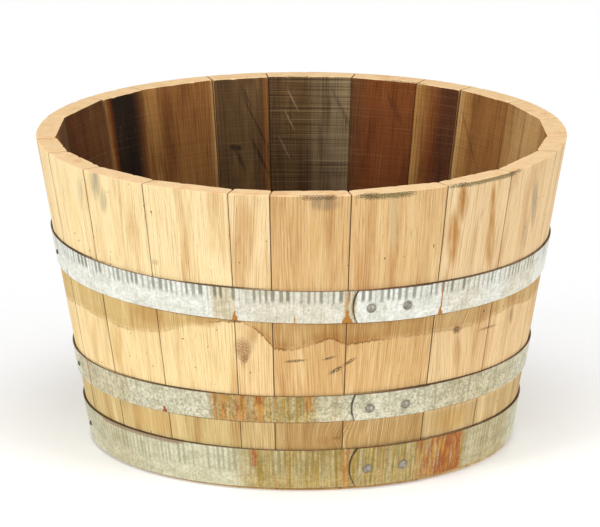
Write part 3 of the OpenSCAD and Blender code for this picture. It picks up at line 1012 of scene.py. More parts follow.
@dataclass
class StaveRing:
    """The staves, side by side. Each is a worn and chipped block bent into its place in the ring.

    water_points are directions in degrees and heights in millimetres of the tide mark. moss and soot are
    stretches of dirt on the rim: direction, half length in degrees and depth in millimetres. The shades
    multiply the outside above the tide mark, low down and in between. battered is the direction in which
    the rim is worn most.
    """

    side: Side
    widths: tuple[int, ...] = (114, 105, 77, 103, 125, 84, 123, 84, 123, 124, 82, 104, 109, 122, 54, 104, 133,
                               112, 129, 84, 103)
    first_joint: float = 12.3
    thickness: float = 30 * MM
    gap: float = 0.3 * MM
    chime_r: float = 263.5 * MM
    howel_r: float = 261.37 * MM
    croze_r: float = 266.87 * MM
    croze_low: float = 41.5 * MM
    croze_high: float = 48.5 * MM
    bevel_top: float = 38 * MM
    howel_top: float = 74.6 * MM
    water_points: tuple[tuple[float, float], ...] = (
        (150, 214), (185, 196), (205, 206), (218.7, 202), (225.1, 199), (234.8, 206), (242.5, 221),
        (251, 233), (257, 234), (260, 223), (263.8, 199), (268.3, 198), (272.5, 205), (276.6, 214),
        (280.9, 204), (288.6, 208), (302.7, 208), (313.7, 206), (330, 216), (345, 205), (372, 222))
    moss: Dirt = ((288.5, 7.5, 9.5), (312, 9.5, 7.0), (318, 5, 7.5), (98, 9, 4.0))
    soot: Dirt = ((273.6, 5.5, 8.0), (284, 3.5, 7.0), (305, 3.5, 6.5), (322, 3, 5), (91, 5, 4.4),
                  (66, 6, 4.2), (60, 3, 4.6))
    belt_shade: Colour = (0.32, 0.39, 0.56)
    low_shade: Colour = (0.42, 0.45, 0.58)
    wall_shade: Colour = (0.09, 0.12, 0.19)
    fresh: Screen = (244, 210, 160)
    old_end: Colour = (0.75, 0.66, 0.52)
    cell: float = 2.8 * MM
    edge_zone: float = 4 * MM
    flat_spread: float = 1.0 * MM
    hollow_least: float = 0.10 * MM
    hollow_depth: float = 0.22 * MM
    hollow_size: float = 70 * MM
    least_wear: float = 0.35 * MM
    most_wear: float = 4.2 * MM
    battered: float = 185.0
    materials: list[bpy.types.Material] = field(default_factory=list)

    def dress(self, effects: Effects) -> None:
        """Makes the materials of the outside, the inside and the ends."""
        finishes = (OutsideWood(effects, self.side), InsideWood(effects, self.side), EndGrain(effects))
        self.materials = [finish.build() for finish in finishes]

    def joints(self) -> np.ndarray:
        """Directions of the joints: the stave widths summed up as shares of the whole turn."""
        total = np.concatenate([[0], np.cumsum(self.widths)])
        return self.first_joint + 360 * total / total[-1]

    def build(self) -> list[bpy.types.Object]:
        """Makes every stave.

        Returns:
            The pieces.
        """
        half_gap = math.degrees(self.gap / self.side.rim_r) / 2
        joints = self.joints()
        starts, ends = joints[:-1] + half_gap, joints[1:] - half_gap
        return [self.stave(i, start, end) for i, (start, end) in enumerate(zip(starts, ends))]

    def heights(self) -> np.ndarray:
        """Heights of a stave's rows: close together at the foot, the groove and the rim.

        Returns:
            Rising array of heights in metres.
        """
        top = self.side.height
        groove = [self.croze_low - 0.02 * MM, self.croze_low, self.croze_high, self.croze_high + 0.02 * MM]
        rows = [
            self.croze_low * np.array([0, 0.01, 0.03, 0.06, 0.1, 0.3, 0.5, 0.7]), [self.bevel_top],
            groove,
            np.linspace(self.croze_high + 4 * MM, self.howel_top, 7),
            np.linspace(self.howel_top, top - 30 * MM, 76)[1:],
            top - MM * np.array([27.5, 25, 22.5, 20, 17.5, 15, 13, 11, 9, 7.5]),
            top - MM * np.array([6, 4.8, 3.7, 2.8, 2, 1.3, 0.8, 0.4, 0]),
        ]
        return np.concatenate(rows)

    def inner_radius(self, z: np.ndarray, turn: np.ndarray, shift: float) -> np.ndarray:
        """Distance of the inside from the axis: the larger of the flat and the turned foot.

        Args:
            z: Heights.
            turn: Angles from the stave's middle in radians.
            shift: How far this stave's flat stands back from the mean, in metres.
        Returns:
            Distances in metres.
        """
        side = self.side
        flat = side.foot_r - self.thickness + shift + (side.rim_r - side.foot_r) * z / side.height
        bevel = self.chime_r + (self.howel_r - self.chime_r) * np.clip(z / self.bevel_top, 0, 1)
        in_groove = (z >= self.croze_low) & (z <= self.croze_high)
        turned = np.where(in_groove, self.croze_r, bevel)
        return np.maximum(flat / np.cos(turn), np.where(z < self.howel_top, turned, 0))

    def stave(self, number: int, start: float, end: float) -> bpy.types.Object:
        """Makes one stave.

        Args:
            number: Its number in the ring, from 0.
            start: Direction of its first face in degrees.
            end: Direction of its last face in degrees.
        Returns:
            The piece.
        """
        side = self.side
        rng = np.random.default_rng(Seed.FLAT + number)
        width = math.radians(end - start) * side.rim_r
        depth = stations(1.0, 0.15, 0.13)
        block = Block(stations(width, self.cell, self.edge_zone), depth, self.heights())
        s, share, z = block.points.T.copy()
        turn = np.radians((start + end) / 2) - np.radians(start)
        angle = (s / width) * 2 * turn - turn
        around = np.radians((start + end) / 2) + angle
        inner = self.inner_radius(z, angle, rng.uniform(-1.0, 1.0) * self.flat_spread)
        thick = side.radius(z) - inner
        block.points[:, 1] = share * thick
        size = np.stack([np.full_like(s, width), thick, np.full_like(s, side.height)], axis=1)
        at = StavePoints(number, width, s, share, z, np.degrees(around))
        rounded = block.rounded(size, self.wear(at))
        bent = np.radians(start) + rounded[:, 0] / side.rim_r
        waves = ripple(np.stack([s, z * 0.4], axis=1), self.hollow_size, Seed.HOLLOW + number)
        hollow = self.hollow_least + self.hollow_depth * (1 + waves)
        radius = side.radius(rounded[:, 2]) - rounded[:, 1] - hollow * (1 - share)
        points = polar(radius, bent, rounded[:, 2])
        slots = np.full(len(block.quads), END)
        slots[block.faces == BlockFace.OUTSIDE.value] = OUTSIDE
        slots[block.faces == BlockFace.INSIDE.value] = INSIDE
        piece = new_piece(f"stave_{number + 1:02d}_wood", points, block.quads, slots, self.materials,
                          self.surface_data(at))
        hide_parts(f"stave_{number + 1:02d}")
        return piece

    def wear(self, at: StavePoints) -> np.ndarray:
        """Radius of the edges: small, and larger where chips have come off the rim and the inner corners.

        Args:
            at: The stave's points.
        Returns:
            Radii in metres.
        """
        run = np.stack([np.radians(at.direction) * self.side.rim_r], axis=1)
        near_top = np.clip(1 - (self.side.height - at.z) / (9 * MM), 0, 1)
        near_joint = np.clip(1 - np.minimum(at.s, at.width - at.s) / (7 * MM), 0, 1)
        tall = np.stack([at.z, at.share * 0.2], axis=1)
        outer = 1.0 * MM + 2.2 * MM * np.clip(ripple(run, 34 * MM, Seed.OUTER_CHIPS) - 0.25, 0, 1)
        outer = outer + 1.6 * MM * smooth(30, 12, np.abs(at.direction - self.battered))
        inner = 0.9 * MM + 3.0 * MM * np.clip(ripple(run, 26 * MM, Seed.INNER_CHIPS) - 0.35, 0, 1)
        inner = inner + 2.2 * MM * near_joint
        rim = outer * (1 - at.share) + inner * at.share
        joint = 0.75 * MM + 0.35 * MM * ripple(tall, 60 * MM, Seed.JOINT + at.number) + 0.9 * MM * at.share
        return np.clip(joint + (rim - joint) * near_top, self.least_wear, self.most_wear)

    def surface_data(self, at: StavePoints) -> dict[str, np.ndarray]:
        """Values that the materials read at each point.

        grain is the place in the plank, bent round knots; place is the unrolled side; edge is the distance
        from the joints; above and below are the distances from the nearest hoop's edges; water is the
        height over the tide mark; moss and soot are the dirt on the rim's edge.

        Args:
            at: The stave's points.
        Returns:
            The values by name.
        """
        look, rng = LOOKS[at.number], np.random.default_rng(Seed.GRAIN + at.number)
        z, inward = at.z, at.share * self.thickness
        arc = np.radians(at.direction - FRONT) * self.side.radius(z)
        across = at.s - at.width * rng.uniform(0.1, 0.9)
        crown = rng.uniform(-1, 1) * 0.22 * (z - rng.uniform(0.1, 0.4)) ** 2
        across = across + crown
        for whorl in WHORLS:
            x, height = self.side.place(whorl[0], whorl[1] * MM)
            far = ((arc - x) / (26 * MM)) ** 2 + ((z - height) / (34 * MM)) ** 2
            across = across + 14 * MM * np.exp(-far)
        drift = rng.uniform(0, 5, 3)
        grain = np.stack([across + drift[0], inward + drift[1], z + drift[2]], axis=1)
        place = np.stack([arc, z, inward], axis=1)
        over = [z - band.middle(self.side, at.direction) for band in BANDS]
        line = np.interp(at.direction % 360, *self._line())
        return {
            "grain": grain,
            "place": place,
            "tone": self.tone(at, line),
            "edge": np.minimum(at.s, at.width - at.s),
            "seam": np.where(at.s < at.width / 2, LOOKS[at.number - 1].seam, look.seam),
            "above": self._from_edges(over),
            "below": self._from_edges([-d for d in over]),
            "water": z - line,
            "tide": 0.35 + 0.65 * smooth(30, 12, np.abs(at.direction - FRONT)),
            "sawn": np.full_like(z, look.sawn),
            "moss": 0.72 * self._patch(at, self.moss),
            "soot": 0.66 * self._patch(at, self.soot),
        }

    @staticmethod
    def _from_edges(past: Sequence[np.ndarray]) -> np.ndarray:
        """Distances from the nearest hoop's edge, given the distances past the middle of each hoop."""
        halves = [band.height / 2 for band in BANDS]
        return np.min([np.where(d > 0, np.abs(d - half), 1.0) for d, half in zip(past, halves)], axis=0)

    def _line(self) -> tuple[np.ndarray, np.ndarray]:
        """The tide mark, closed over the back.

        Returns:
            Its directions in degrees, rising, and its heights in metres.
        """
        directions, heights = np.array(self.water_points, float).T
        turned = np.concatenate([directions - 360, directions])
        order = np.argsort(turned)
        return turned[order], np.concatenate([heights, heights])[order] * MM

    def _patch(self, at: StavePoints, spots: Dirt) -> np.ndarray:
        """Dirt on the rim's outer edge, or on its inner edge for a spot at the back, which the camera sees.

        Args:
            at: The stave's points.
            spots: Direction, half length in degrees and depth in millimetres of each stretch.
        Returns:
            Values from 0 to 1.
        """
        total = np.zeros_like(at.z)
        for middle, half, depth in spots:
            away = turn_between(at.direction, middle) / half
            face = at.share if middle < 180 else 1 - at.share
            down = (self.side.height - at.z + (1 - face) * self.thickness) / (depth * MM)
            total = np.maximum(total, smooth(1.2, 0.5, away) * smooth(1.5, 0.4, down))
        return total

    def tone(self, at: StavePoints, line: np.ndarray) -> np.ndarray:
        """Base colour at each point, linear: outside, inside or end by where the point lies.

        Args:
            at: The stave's points.
            line: Height of the tide mark at each point.
        Returns:
            Array of shape (n, 3).
        """
        look, z, share = LOOKS[at.number], at.z, at.share
        outside = np.array(linear(look.outside.value))[None, :]
        belt = smooth(-2 * MM, 6 * MM, z - line) * smooth(262 * MM, 240 * MM, z)
        low = smooth(104 * MM, 92 * MM, z)
        middle = smooth(250 * MM, 240 * MM, z) * (1 - belt) * (1 - low)
        for part, shade in ((belt, self.belt_shade), (low, self.low_shade), (middle, self.wall_shade)):
            outside = outside * (1 - part[:, None] * np.array(shade))
        stray = 0.03 * ripple(np.stack([z], axis=1), 0.3, Seed.INSIDE_TONE)
        inside = look.inside_colour(at.s / at.width + stray)
        fresh = np.array(linear(self.fresh))[None, :]
        is_top = (z >= self.side.height - 0.5 * MM)[:, None]
        mid_wall = ((share > 0.001) & (share < 0.999))[:, None]
        ends = np.where(is_top, fresh, fresh * np.array(self.old_end))
        return np.where(is_top | mid_wall, ends, np.where((share >= 0.999)[:, None], inside, outside))


@dataclass(frozen=True)
class Patch:
    """A stretch of rust or stain on a hoop: its direction, half of its length in degrees, and its strength.

    core is the share of the half length over which it keeps its full strength. It lies between top and
    foot, which are shares of the way down the band.
    """

    direction: float
    half: float
    strength: float
    core: float = 0.6
    top: float = 0.0
    foot: float = 1.0


@dataclass(frozen=True)
class Zinc:
    """Galvanised finish of one hoop.

    A tick is an upright mark left by the rolls: its colour, its distance from the next, the share of the
    band's height that it stands on, and its strength. spangle is the strength of the zinc's crystals, and
    split the colour where the zinc has come off.
    """

    effects: Effects
    name: str
    pale: Screen
    dull: Screen
    tick: Screen
    tick_pitch: float
    tick_from: float
    tick_strength: float
    spangle: float
    split: Screen
    flake: Screen = (136, 134, 118)
    streak: Screen = (186, 180, 156)
    film: Screen = (212, 180, 100)
    scrape: Screen = (134, 106, 78)
    rivet_dirt_and_shade: Screen = (112, 100, 80)
    lip: Screen = (84, 62, 38)
    lap_end_shadow: Screen = (62, 44, 26)

    def build(self) -> bpy.types.Material:
        """Makes the material.

        Returns:
            The material.
        """
        finish = Finish(self.name)
        n = finish.n
        run = n.attribute("run", "Vector")
        cloud = n.noise(run, (45.0, 45.0, 70.0), 4.0, 0.6)
        paint = Paint(n, n.mix(n.step(cloud, 0.34, 0.68), linear(self.pale), linear(self.dull)))
        cells = n.add("ShaderNodeTexVoronoi", {"Vector": run, "Scale": 380.0}).outputs["Color"]
        cell = n.add("ShaderNodeSeparateColor", {0: cells}).outputs[0]
        paint.shade(cell, 0.2, 1.0, self.spangle, self.flake)
        streak = n.noise(run, (300.0, 1.0, 14.0), 3.0, 0.6)
        paint.shade(streak, 0.5, 0.72, 0.35, self.streak)
        tick = self._ticks(n, n.parts(run)[0], n.attribute("rise"))
        paint.coat(n.times(tick, self.tick_strength), self.tick)
        film = n.times(n.attribute("film"), n.step(streak, 0.36, 0.62, 0.55, 1.0))
        paint.coat(film, self.film, "MULTIPLY")
        crust = n.group(self.effects.crust, Run=run, Amount=n.attribute("rust")).outputs
        paint.coat(n.times(crust["Mask"], 0.92), crust["Shade"])
        grit = n.noise(run, 300.0, 2.0, 0.7)
        paint.tint(n.ragged(n.attribute("split"), grit, 0.8), 0.42, 0.66, 1.0, self.split)
        paint.tint(n.ragged(n.attribute("scrape"), grit, 0.8), 0.35, 0.75, 0.75, self.scrape)
        # end: painted shadow along the lap's rounded end and on the layer beneath it
        # lip: rust and painted shade along both edges of the strip, where it meets the staves
        # ring: dirt and painted shade in the crevice round each rivet head
        for distance, low, high, most, colour in (("ring", 8.0, 5.5, 0.75, self.rivet_dirt_and_shade),
                                                  ("lip", 1.0, 0.4, 0.6, self.lip),
                                                  ("end", 1.5, 0.7, 0.9, self.lap_end_shadow)):
            paint.tint(n.attribute(distance), low * MM, high * MM, most, colour)
        metal = n.math("SUBTRACT", 0.22, n.times(crust["Mask"], 0.22), clamp=True)
        n.feed(finish.shader.inputs["Metallic"], metal)
        rough = n.math("MULTIPLY_ADD", crust["Mask"], 0.3, n.step(cloud, 0.3, 0.7, 0.45, 0.6))
        relief = n.math("SUBTRACT", n.times(cloud, 0.6), n.times(tick, 0.4))
        return finish.close(paint.colour, rough, 0.35, relief, 0.3, 0.5 * MM)

    def _ticks(self, n: Nodes, length: Socket, rise: Socket) -> Socket:
        """Upright marks left by the rolls, each with its own width, darkness and soft lower end.

        Args:
            n: The material's nodes.
            length: Distance along the strip.
            rise: Share of the band's height.
        Returns:
            Strength of the marks, from 0 to 1.
        """
        uneven = n.noise(n.add("ShaderNodeCombineXYZ", {0: length}).outputs[0], 26.0, 2.0)
        count = n.math("MULTIPLY_ADD", uneven, 2.4, n.math("DIVIDE", length, self.tick_pitch))
        number = {"W": n.math("FLOOR", count)}
        own = n.add("ShaderNodeTexWhiteNoise", number, noise_dimensions="1D").outputs["Value"]
        off = n.math("ABSOLUTE", n.math("SUBTRACT", n.math("FRACT", count), 0.5))
        width = n.math("MULTIPLY_ADD", own, 0.16, 0.10)
        body = n.step(n.math("SUBTRACT", off, width), 0.14, -0.08)
        foot = n.math("MULTIPLY_ADD", own, 0.14, self.tick_from - 0.07)
        tall = n.step(n.math("SUBTRACT", rise, foot), -0.08, 0.10)
        return n.times(n.times(body, tall), n.step(own, 0.0, 0.9, 0.4, 1.0))


@dataclass(frozen=True)
class BareIron:
    """Dark rusty edges of the hoops, and the rivets and nails."""

    name: str
    colour: Screen
    rust: Screen
    rust_from: float
    dark: Screen = (60, 54, 44)

    def build(self) -> bpy.types.Material:
        """Makes the material.

        Returns:
            The material.
        """
        finish = Finish(self.name)
        n = finish.n
        coords = n.here()
        cloud = n.noise(coords, 260.0, 4.0, 0.65)
        paint = Paint(n, n.mix(n.step(cloud, 0.35, 0.65, 0.0, 0.6), linear(self.colour), linear(self.dark)))
        paint.tint(n.noise(coords, 40.0, 2.0, 0.6), self.rust_from, self.rust_from + 0.16, 0.85, self.rust)
        finish.shader.inputs["Metallic"].default_value = 0.35
        return finish.close(paint.colour, n.step(cloud, 0.3, 0.7, 0.45, 0.65), 0.5, cloud, 0.4, 0.3 * MM)


@dataclass
class Hoop:
    """One iron hoop: a strip round the staves that laps over itself, with its rivets and nails.

    end_r is the radius of the lap's rounded end. The strip keeps joggle_room past the under layer's end
    and steps down to the staves over joggle. A nail tapers to its point below nail_straight.
    """

    side: Side
    band: Band
    finish: Zinc
    seed: int
    rust: tuple[Patch, ...]
    film: tuple[Patch, ...]
    splits: tuple[Patch, ...]
    scrapes: tuple[Patch, ...] = ()
    iron: float = 2 * MM
    fit: float = 0.2 * MM
    lap_gap: float = 0.2 * MM
    end_r: float = 42 * MM
    joggle_room: float = 6 * MM
    joggle: float = 8 * MM
    rivet_inset: float = 23.5 * MM
    rivet_pitch: float = 49 * MM
    rivet_drop: float = 2.5 * MM
    rivet_fit: float = 0.15 * MM
    rivet_r: float = 2.5 * MM
    rivet_sunk_r: float = 4 * MM
    rivet_head_r: float = 5.25 * MM
    rivet_head_h: float = 3 * MM
    rivet_brim: float = 0.5 * MM
    nail_step: float = 89.0
    nail_fit: float = 0.2 * MM
    nail_r: float = 1.3 * MM
    nail_length: float = 14 * MM
    nail_straight: float = 11.4 * MM
    nail_head_r: float = 3.5 * MM
    nail_head_h: float = 2.2 * MM
    nail_brim: float = 0.3 * MM
    dent: float = 0.16 * MM
    dent_size: float = 120 * MM
    rib: float = 0.07 * MM
    lip: float = 0.15 * MM

    def lap(self) -> float:
        """Length of the lap."""
        return 2 * self.rivet_inset + self.rivet_pitch

    def rivet_places(self) -> tuple[float, float]:
        """Distances of the two rivets along the strip."""
        return self.rivet_inset, self.rivet_inset + self.rivet_pitch

    def radius(self) -> float:
        """Radius of the side at the band's middle."""
        return float(self.side.radius(self.band.z))

    def build(self, edge_iron: bpy.types.Material) -> bpy.types.Object:
        """Makes the strip.

        The strip starts in the lap's upper layer, steps down to the staves past the end of the under
        layer, runs round and ends under its own start.

        Args:
            edge_iron: Material of the strip's edges.
        Returns:
            The piece.
        """
        band, r = self.band, self.radius()
        total = 2 * math.pi * r + self.lap()
        block = Block(stations(total, 2.2 * MM, 3 * MM), stations(1.0, 0.2, 0.30) * self.iron,
                      stations(band.height, 2.6 * MM, 1.4 * MM))
        length, depth, rise = block.points.T.copy()
        size = np.array([[total, self.iron, band.height]]) * np.ones((len(length), 1))
        wobble = ripple(np.stack([length, rise], axis=1), 40 * MM, self.seed + 5)
        rounded = block.rounded(size, 0.5 * MM + 0.2 * MM * wobble)
        along, inward, up = rounded.T
        y = np.clip(up - band.height / 2, -0.98 * self.end_r, 0.98 * self.end_r)
        setback = self.end_r - np.sqrt(self.end_r ** 2 - y ** 2)
        along = along + setback * np.clip(1 - along / (34 * MM), 0, 1)
        turn = math.radians(band.lap) + along / r
        step_at = self.lap() + self.joggle_room
        lifted = smooth(step_at + self.joggle, step_at, along)
        free = 1 - smooth(total - self.lap() - 10 * MM, total - self.lap(), along)
        out = self.fit + (self.iron + self.lap_gap) * lifted + self.relief(along, up) * free
        z = band.middle(self.side, np.degrees(turn)) + up - band.height / 2
        radius = self.side.radius(z) + out + self.iron - inward
        points = polar(radius, turn, z)
        flat = np.isin(block.faces, [BlockFace.OUTSIDE.value, BlockFace.INSIDE.value])
        slots = np.where(flat, FACE, EDGE)
        direction = np.degrees(turn)
        past_end = (total - self.lap()) - along + setback
        rivet_up = band.height / 2 - self.rivet_drop
        ring = np.min([np.hypot(along - at, up - rivet_up) for at in self.rivet_places()], axis=0)
        down = 1 - up / band.height
        data = {
            "run": np.stack([along, depth + self.seed, up], axis=1),
            "rise": up / band.height,
            "rust": self.spread(self.rust, direction, down),
            "film": self.spread(self.film, direction, down),
            "split": self.spread(self.splits, direction, down, widen=True),
            "scrape": self.spread(self.scrapes, direction, down) * smooth(7 * MM, 3 * MM, band.height - up),
            # distance from the strip's edges, for the line of rust and painted shade along them
            "lip": np.minimum(np.abs(band.height - up), np.abs(up) + 0.5 * MM),
            "ring": ring,
            # distance from the lap's end, for the painted shadow along it
            "end": np.minimum(length + 0.2 * MM, np.where(past_end > -2 * MM, np.abs(past_end), 1.0)),
        }
        materials = [self.finish.build(), edge_iron]
        piece = new_piece(f"{band.name}_iron", points, block.quads, slots, materials, data)
        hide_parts(band.name)
        return piece

    def relief(self, along: np.ndarray, up: np.ndarray) -> np.ndarray:
        """How far the iron stands out of true: slow dents, ribs left by the rolls and a lifted upper lip.

        Args:
            along: Distances along the strip.
            up: Heights above the band's lower edge.
        Returns:
            Distances outwards in metres, never below zero.
        """
        share = up / self.band.height
        dents = self.dent * (1 + ripple(np.stack([along, up * 0.5], axis=1), self.dent_size, self.seed))
        wave = 1 + np.cos(2 * np.pi * along / self.finish.tick_pitch)
        ribs = self.rib * wave * smooth(0.45, 0.75, share)
        lip = self.lip * smooth(0.86, 1.0, share)
        return dents + ribs + lip

    @staticmethod
    def spread(patches: Sequence[Patch], direction: np.ndarray, down: np.ndarray,
               widen: bool = False) -> np.ndarray:
        """Strength of patches round the hoop.

        Args:
            patches: The patches.
            direction: Directions in degrees.
            down: Shares of the way down the band.
            widen: Whether the patches widen towards the lower edge.
        Returns:
            Values from 0 to 1.
        """
        total = np.zeros_like(direction)
        for patch in patches:
            half = patch.half * (0.45 + 1.1 * smooth(0.72, 1.0, down)) if widen else patch.half
            away = turn_between(direction, patch.direction) / half
            tall = smooth(patch.top - 0.12, patch.top, down)
            tall = tall * smooth(patch.foot + 0.15, patch.foot - 0.05, down)
            total = np.maximum(total, patch.strength * smooth(1.15, patch.core, away) * tall)
        return total

    def fasteners(self, rivet_iron: bpy.types.Material,
                  nail_iron: bpy.types.Material) -> list[bpy.types.Object]:
        """Makes the hoop's two rivets and three nails.

        Args:
            rivet_iron: Material of the rivets.
            nail_iron: Material of the nails.
        Returns:
            The two pieces.
        """
        under = self.fit + self.iron
        upper = under + self.lap_gap + self.iron
        rivet = [(0.0, self.fit), (self.rivet_sunk_r, self.fit), (self.rivet_r, self.fit + self.iron * 0.75),
                 (self.rivet_r, upper + self.rivet_fit)]
        rivet += dome(self.rivet_head_r, self.rivet_head_h, upper + self.rivet_fit, self.rivet_brim)
        seat = under + self.nail_fit
        nail = [(0.0, seat - self.nail_length), (self.nail_r, seat - self.nail_straight), (self.nail_r, seat)]
        nail += dome(self.nail_head_r, self.nail_head_h, seat, self.nail_brim)
        turn = math.degrees(1 / self.radius())
        rivet_turns = [self.band.lap + at * turn for at in self.rivet_places()]
        nail_turns = [self.band.lap - self.nail_step * i for i in (1, 2, 3)]
        rivets = driven(f"{self.band.name}_rivets_forged", self.side, self.band, rivet, rivet_turns,
                        self.rivet_drop, rivet_iron, self.seed)
        nails = driven(f"{self.band.name}_nails_forged", self.side, self.band, nail, nail_turns, 0.0,
                       nail_iron, self.seed + 3)
        for piece, kind in ((rivets, "rivet"), (nails, "nail")):
            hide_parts(f"{self.band.name}_{kind}s")
        return [rivets, nails]


def dome(half: float, height: float, seat: float, brim: float) -> list[tuple[float, float]]:
    """Outline of a domed head from its seat to its crown: a short upright brim and the arc of a circle.

    Args:
        half: Half of its width.
        height: Its height.
        seat: Height of its seat.
        brim: Height of its brim.
    Returns:
        Points of radius and height.
    """
    rise = height - brim
    r = (half * half + rise * rise) / (2 * rise)
    angles = np.linspace(math.asin(min(1.0, half / r)), 0, 9)
    arc = [(r * math.sin(a), seat + height - r + r * math.cos(a)) for a in angles]
    arc[-1] = (0.0, seat + height)
    return [(half, seat), *arc]


def driven(name: str, side: Side, band: Band, outline: Sequence[tuple[float, float]],
           turns: Sequence[float], drop: float, material: bpy.types.Material, seed: int) -> bpy.types.Object:
    """Turns an outline into forged fasteners driven square into the side, as one piece.

    Each is its outline carried round its axis, with the radius of the head beaten a little out of round.

    Args:
        name: Name of the piece.
        side: The side.
        band: The hoop's band.
        outline: Radius and height of the outline's points, first and last on the axis.
        turns: Direction of each fastener in degrees.
        drop: Distance below the middle of the band.
        material: Their material.
        seed: Seed of the hammer marks.
    Returns:
        The piece.
    """
    count = 40  # points round a fastener
    around = np.linspace(0, 2 * np.pi, count, endpoint=False)
    profile = np.array(outline)
    points, quads = [], []
    base = 0
    for k, turn in enumerate(turns):
        ring = profile[1:-1]
        r, h = np.repeat(ring[:, 0], count), np.repeat(ring[:, 1], count)
        a = np.tile(around, len(ring))
        head = smooth(ring[0, 1], ring[-1, 1], h)
        beaten = 1 + 0.045 * head * ripple(np.stack([np.cos(a), np.sin(a)], axis=1), 2.2, seed + 10 * k)
        flat = polar(r * beaten, a, h)
        dent = 0.16 * MM * head * ripple(flat[:, :2], 5 * MM, seed + 10 * k + 1)
        flat[:, 2] += np.minimum(dent, 0)
        local = np.concatenate([[[0, 0, profile[0, 1]]], flat, [[0, 0, profile[-1, 1]]]])
        down, along, out, foot = side.frame(turn, float(band.middle(side, turn)) - drop)
        points.append(local @ np.stack([down, along, out]) + foot)
        grid = base + 1 + np.arange(len(ring) * count).reshape(len(ring), count)
        grid = np.concatenate([grid, grid[:, :1]], axis=1)
        quads.append(lattice_quads(grid.T))
        first, last = base, base + len(ring) * count + 1
        quads.append(fan(grid[0], first, True))
        quads.append(fan(grid[-1], last, False))
        base = last + 1
    quads = np.concatenate(quads)
    return new_piece(name, np.concatenate(points), quads, np.zeros(len(quads)), [material], {})


def fan(ring: np.ndarray, pole: int, below: bool) -> np.ndarray:
    """Quads from a closed ring to a pole, two steps of the ring each.

    Args:
        ring: Point numbers, the first repeated at the end.
        pole: Number of the pole's point.
        below: Whether the pole lies below the ring.
    Returns:
        Array of shape (n, 4).
    """
    a, b, c = ring[:-1:2], ring[1::2], ring[2::2]
    p = np.full_like(a, pole)
    return np.stack([p, c, b, a] if below else [p, a, b, c], axis=-1)


@dataclass(frozen=True)
class HeadWood:
    """The head's boards and dowels: flat-sawn wood whose grain runs across the tub.

    shift moves the grain, and joints are the places of a board's two long edges.
    """

    effects: Effects
    name: str
    colour: Screen
    dark: Screen
    shift: float = 0.0
    joints: tuple[float, float] = (-1.0, 1.0)
    ring: Screen = (110, 70, 44)
    fibre: Screen = (140, 100, 70)
    joint: Screen = (34, 20, 13)

    def build(self) -> bpy.types.Material:
        """Makes the material.

        Returns:
            The material.
        """
        finish = Finish(self.name)
        n = finish.n
        place = n.here()
        moved = n.vector("ADD", place, (self.shift, 0.0, self.shift))
        turned = n.add("ShaderNodeMapping", {"Vector": moved, "Rotation": (0.0, math.pi / 2, 0.0)}).outputs[0]
        figure = n.group(self.effects.figure, Grain=turned, Pitch=6 * MM, Slant=1.0).outputs
        paint = Paint(n, n.mix(n.step(figure["Patches"], 0.35, 0.7), linear(self.colour), linear(self.dark)))
        paint.coat(n.times(figure["Rings"], 0.6), self.ring, "MULTIPLY")
        paint.shade(figure["Fibres"], 0.48, 0.7, 0.6, self.fibre)
        y, (low, high) = n.parts(place)[1], self.joints
        edge = n.math("MINIMUM", n.math("SUBTRACT", y, low), n.math("SUBTRACT", high, y))
        paint.tint(edge, 1.6 * MM, 0.4 * MM, 0.85, self.joint)
        return finish.close(paint.colour, 0.7, 0.5, figure["Fibres"], 0.4, 0.5 * MM)


@dataclass
class Head:
    """The tub's bottom, whose boards and dowels are the frame's own nodes with a finish."""

    effects: Effects
    tones: tuple[Screen, ...] = ((124, 80, 52), (140, 94, 60), (116, 74, 48), (134, 86, 54), (146, 100, 66),
                                 (120, 76, 50))
    dark: Screen = (92, 58, 40)
    dowel: Screen = (214, 178, 122)
    dark_dowel: Screen = (196, 152, 98)
    board_shift: float = 0.37

    def board(self, number: int) -> bpy.types.Object:
        """Gives one board its tone, its own stretch of grain and dark joints at its two long edges.

        Args:
            number: Number of the board, from 0.
        Returns:
            The board.
        """
        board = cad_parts[f"head_board_{number + 1}"]
        places = np.empty(3 * len(board.data.vertices), np.float32)
        board.data.vertices.foreach_get("co", places)
        joints = (float(places[1::3].min()), float(places[1::3].max()))
        wood = HeadWood(self.effects, f"head_wood_{number + 1}", self.tones[number], self.dark,
                        self.board_shift * number, joints)
        return self._finish(board, wood)

    def dress(self) -> list[bpy.types.Object]:
        """Gives the nodes their finish.

        Returns:
            The nodes' objects.
        """
        wood = HeadWood(self.effects, "dowel_wood", self.dowel, self.dark_dowel)
        dowels = self._finish(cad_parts["head_dowels"], wood)
        return [self.board(i) for i in range(len(self.tones))] + [dowels]

    @staticmethod
    def _finish(node: bpy.types.Object, wood: HeadWood) -> bpy.types.Object:
        """Puts a wood on a node in place of its materials.

        Args:
            node: The node's object.
            wood: The wood.
        Returns:
            The node's object.
        """
        node.data.materials.clear()
        node.data.materials.append(wood.build())
        return node


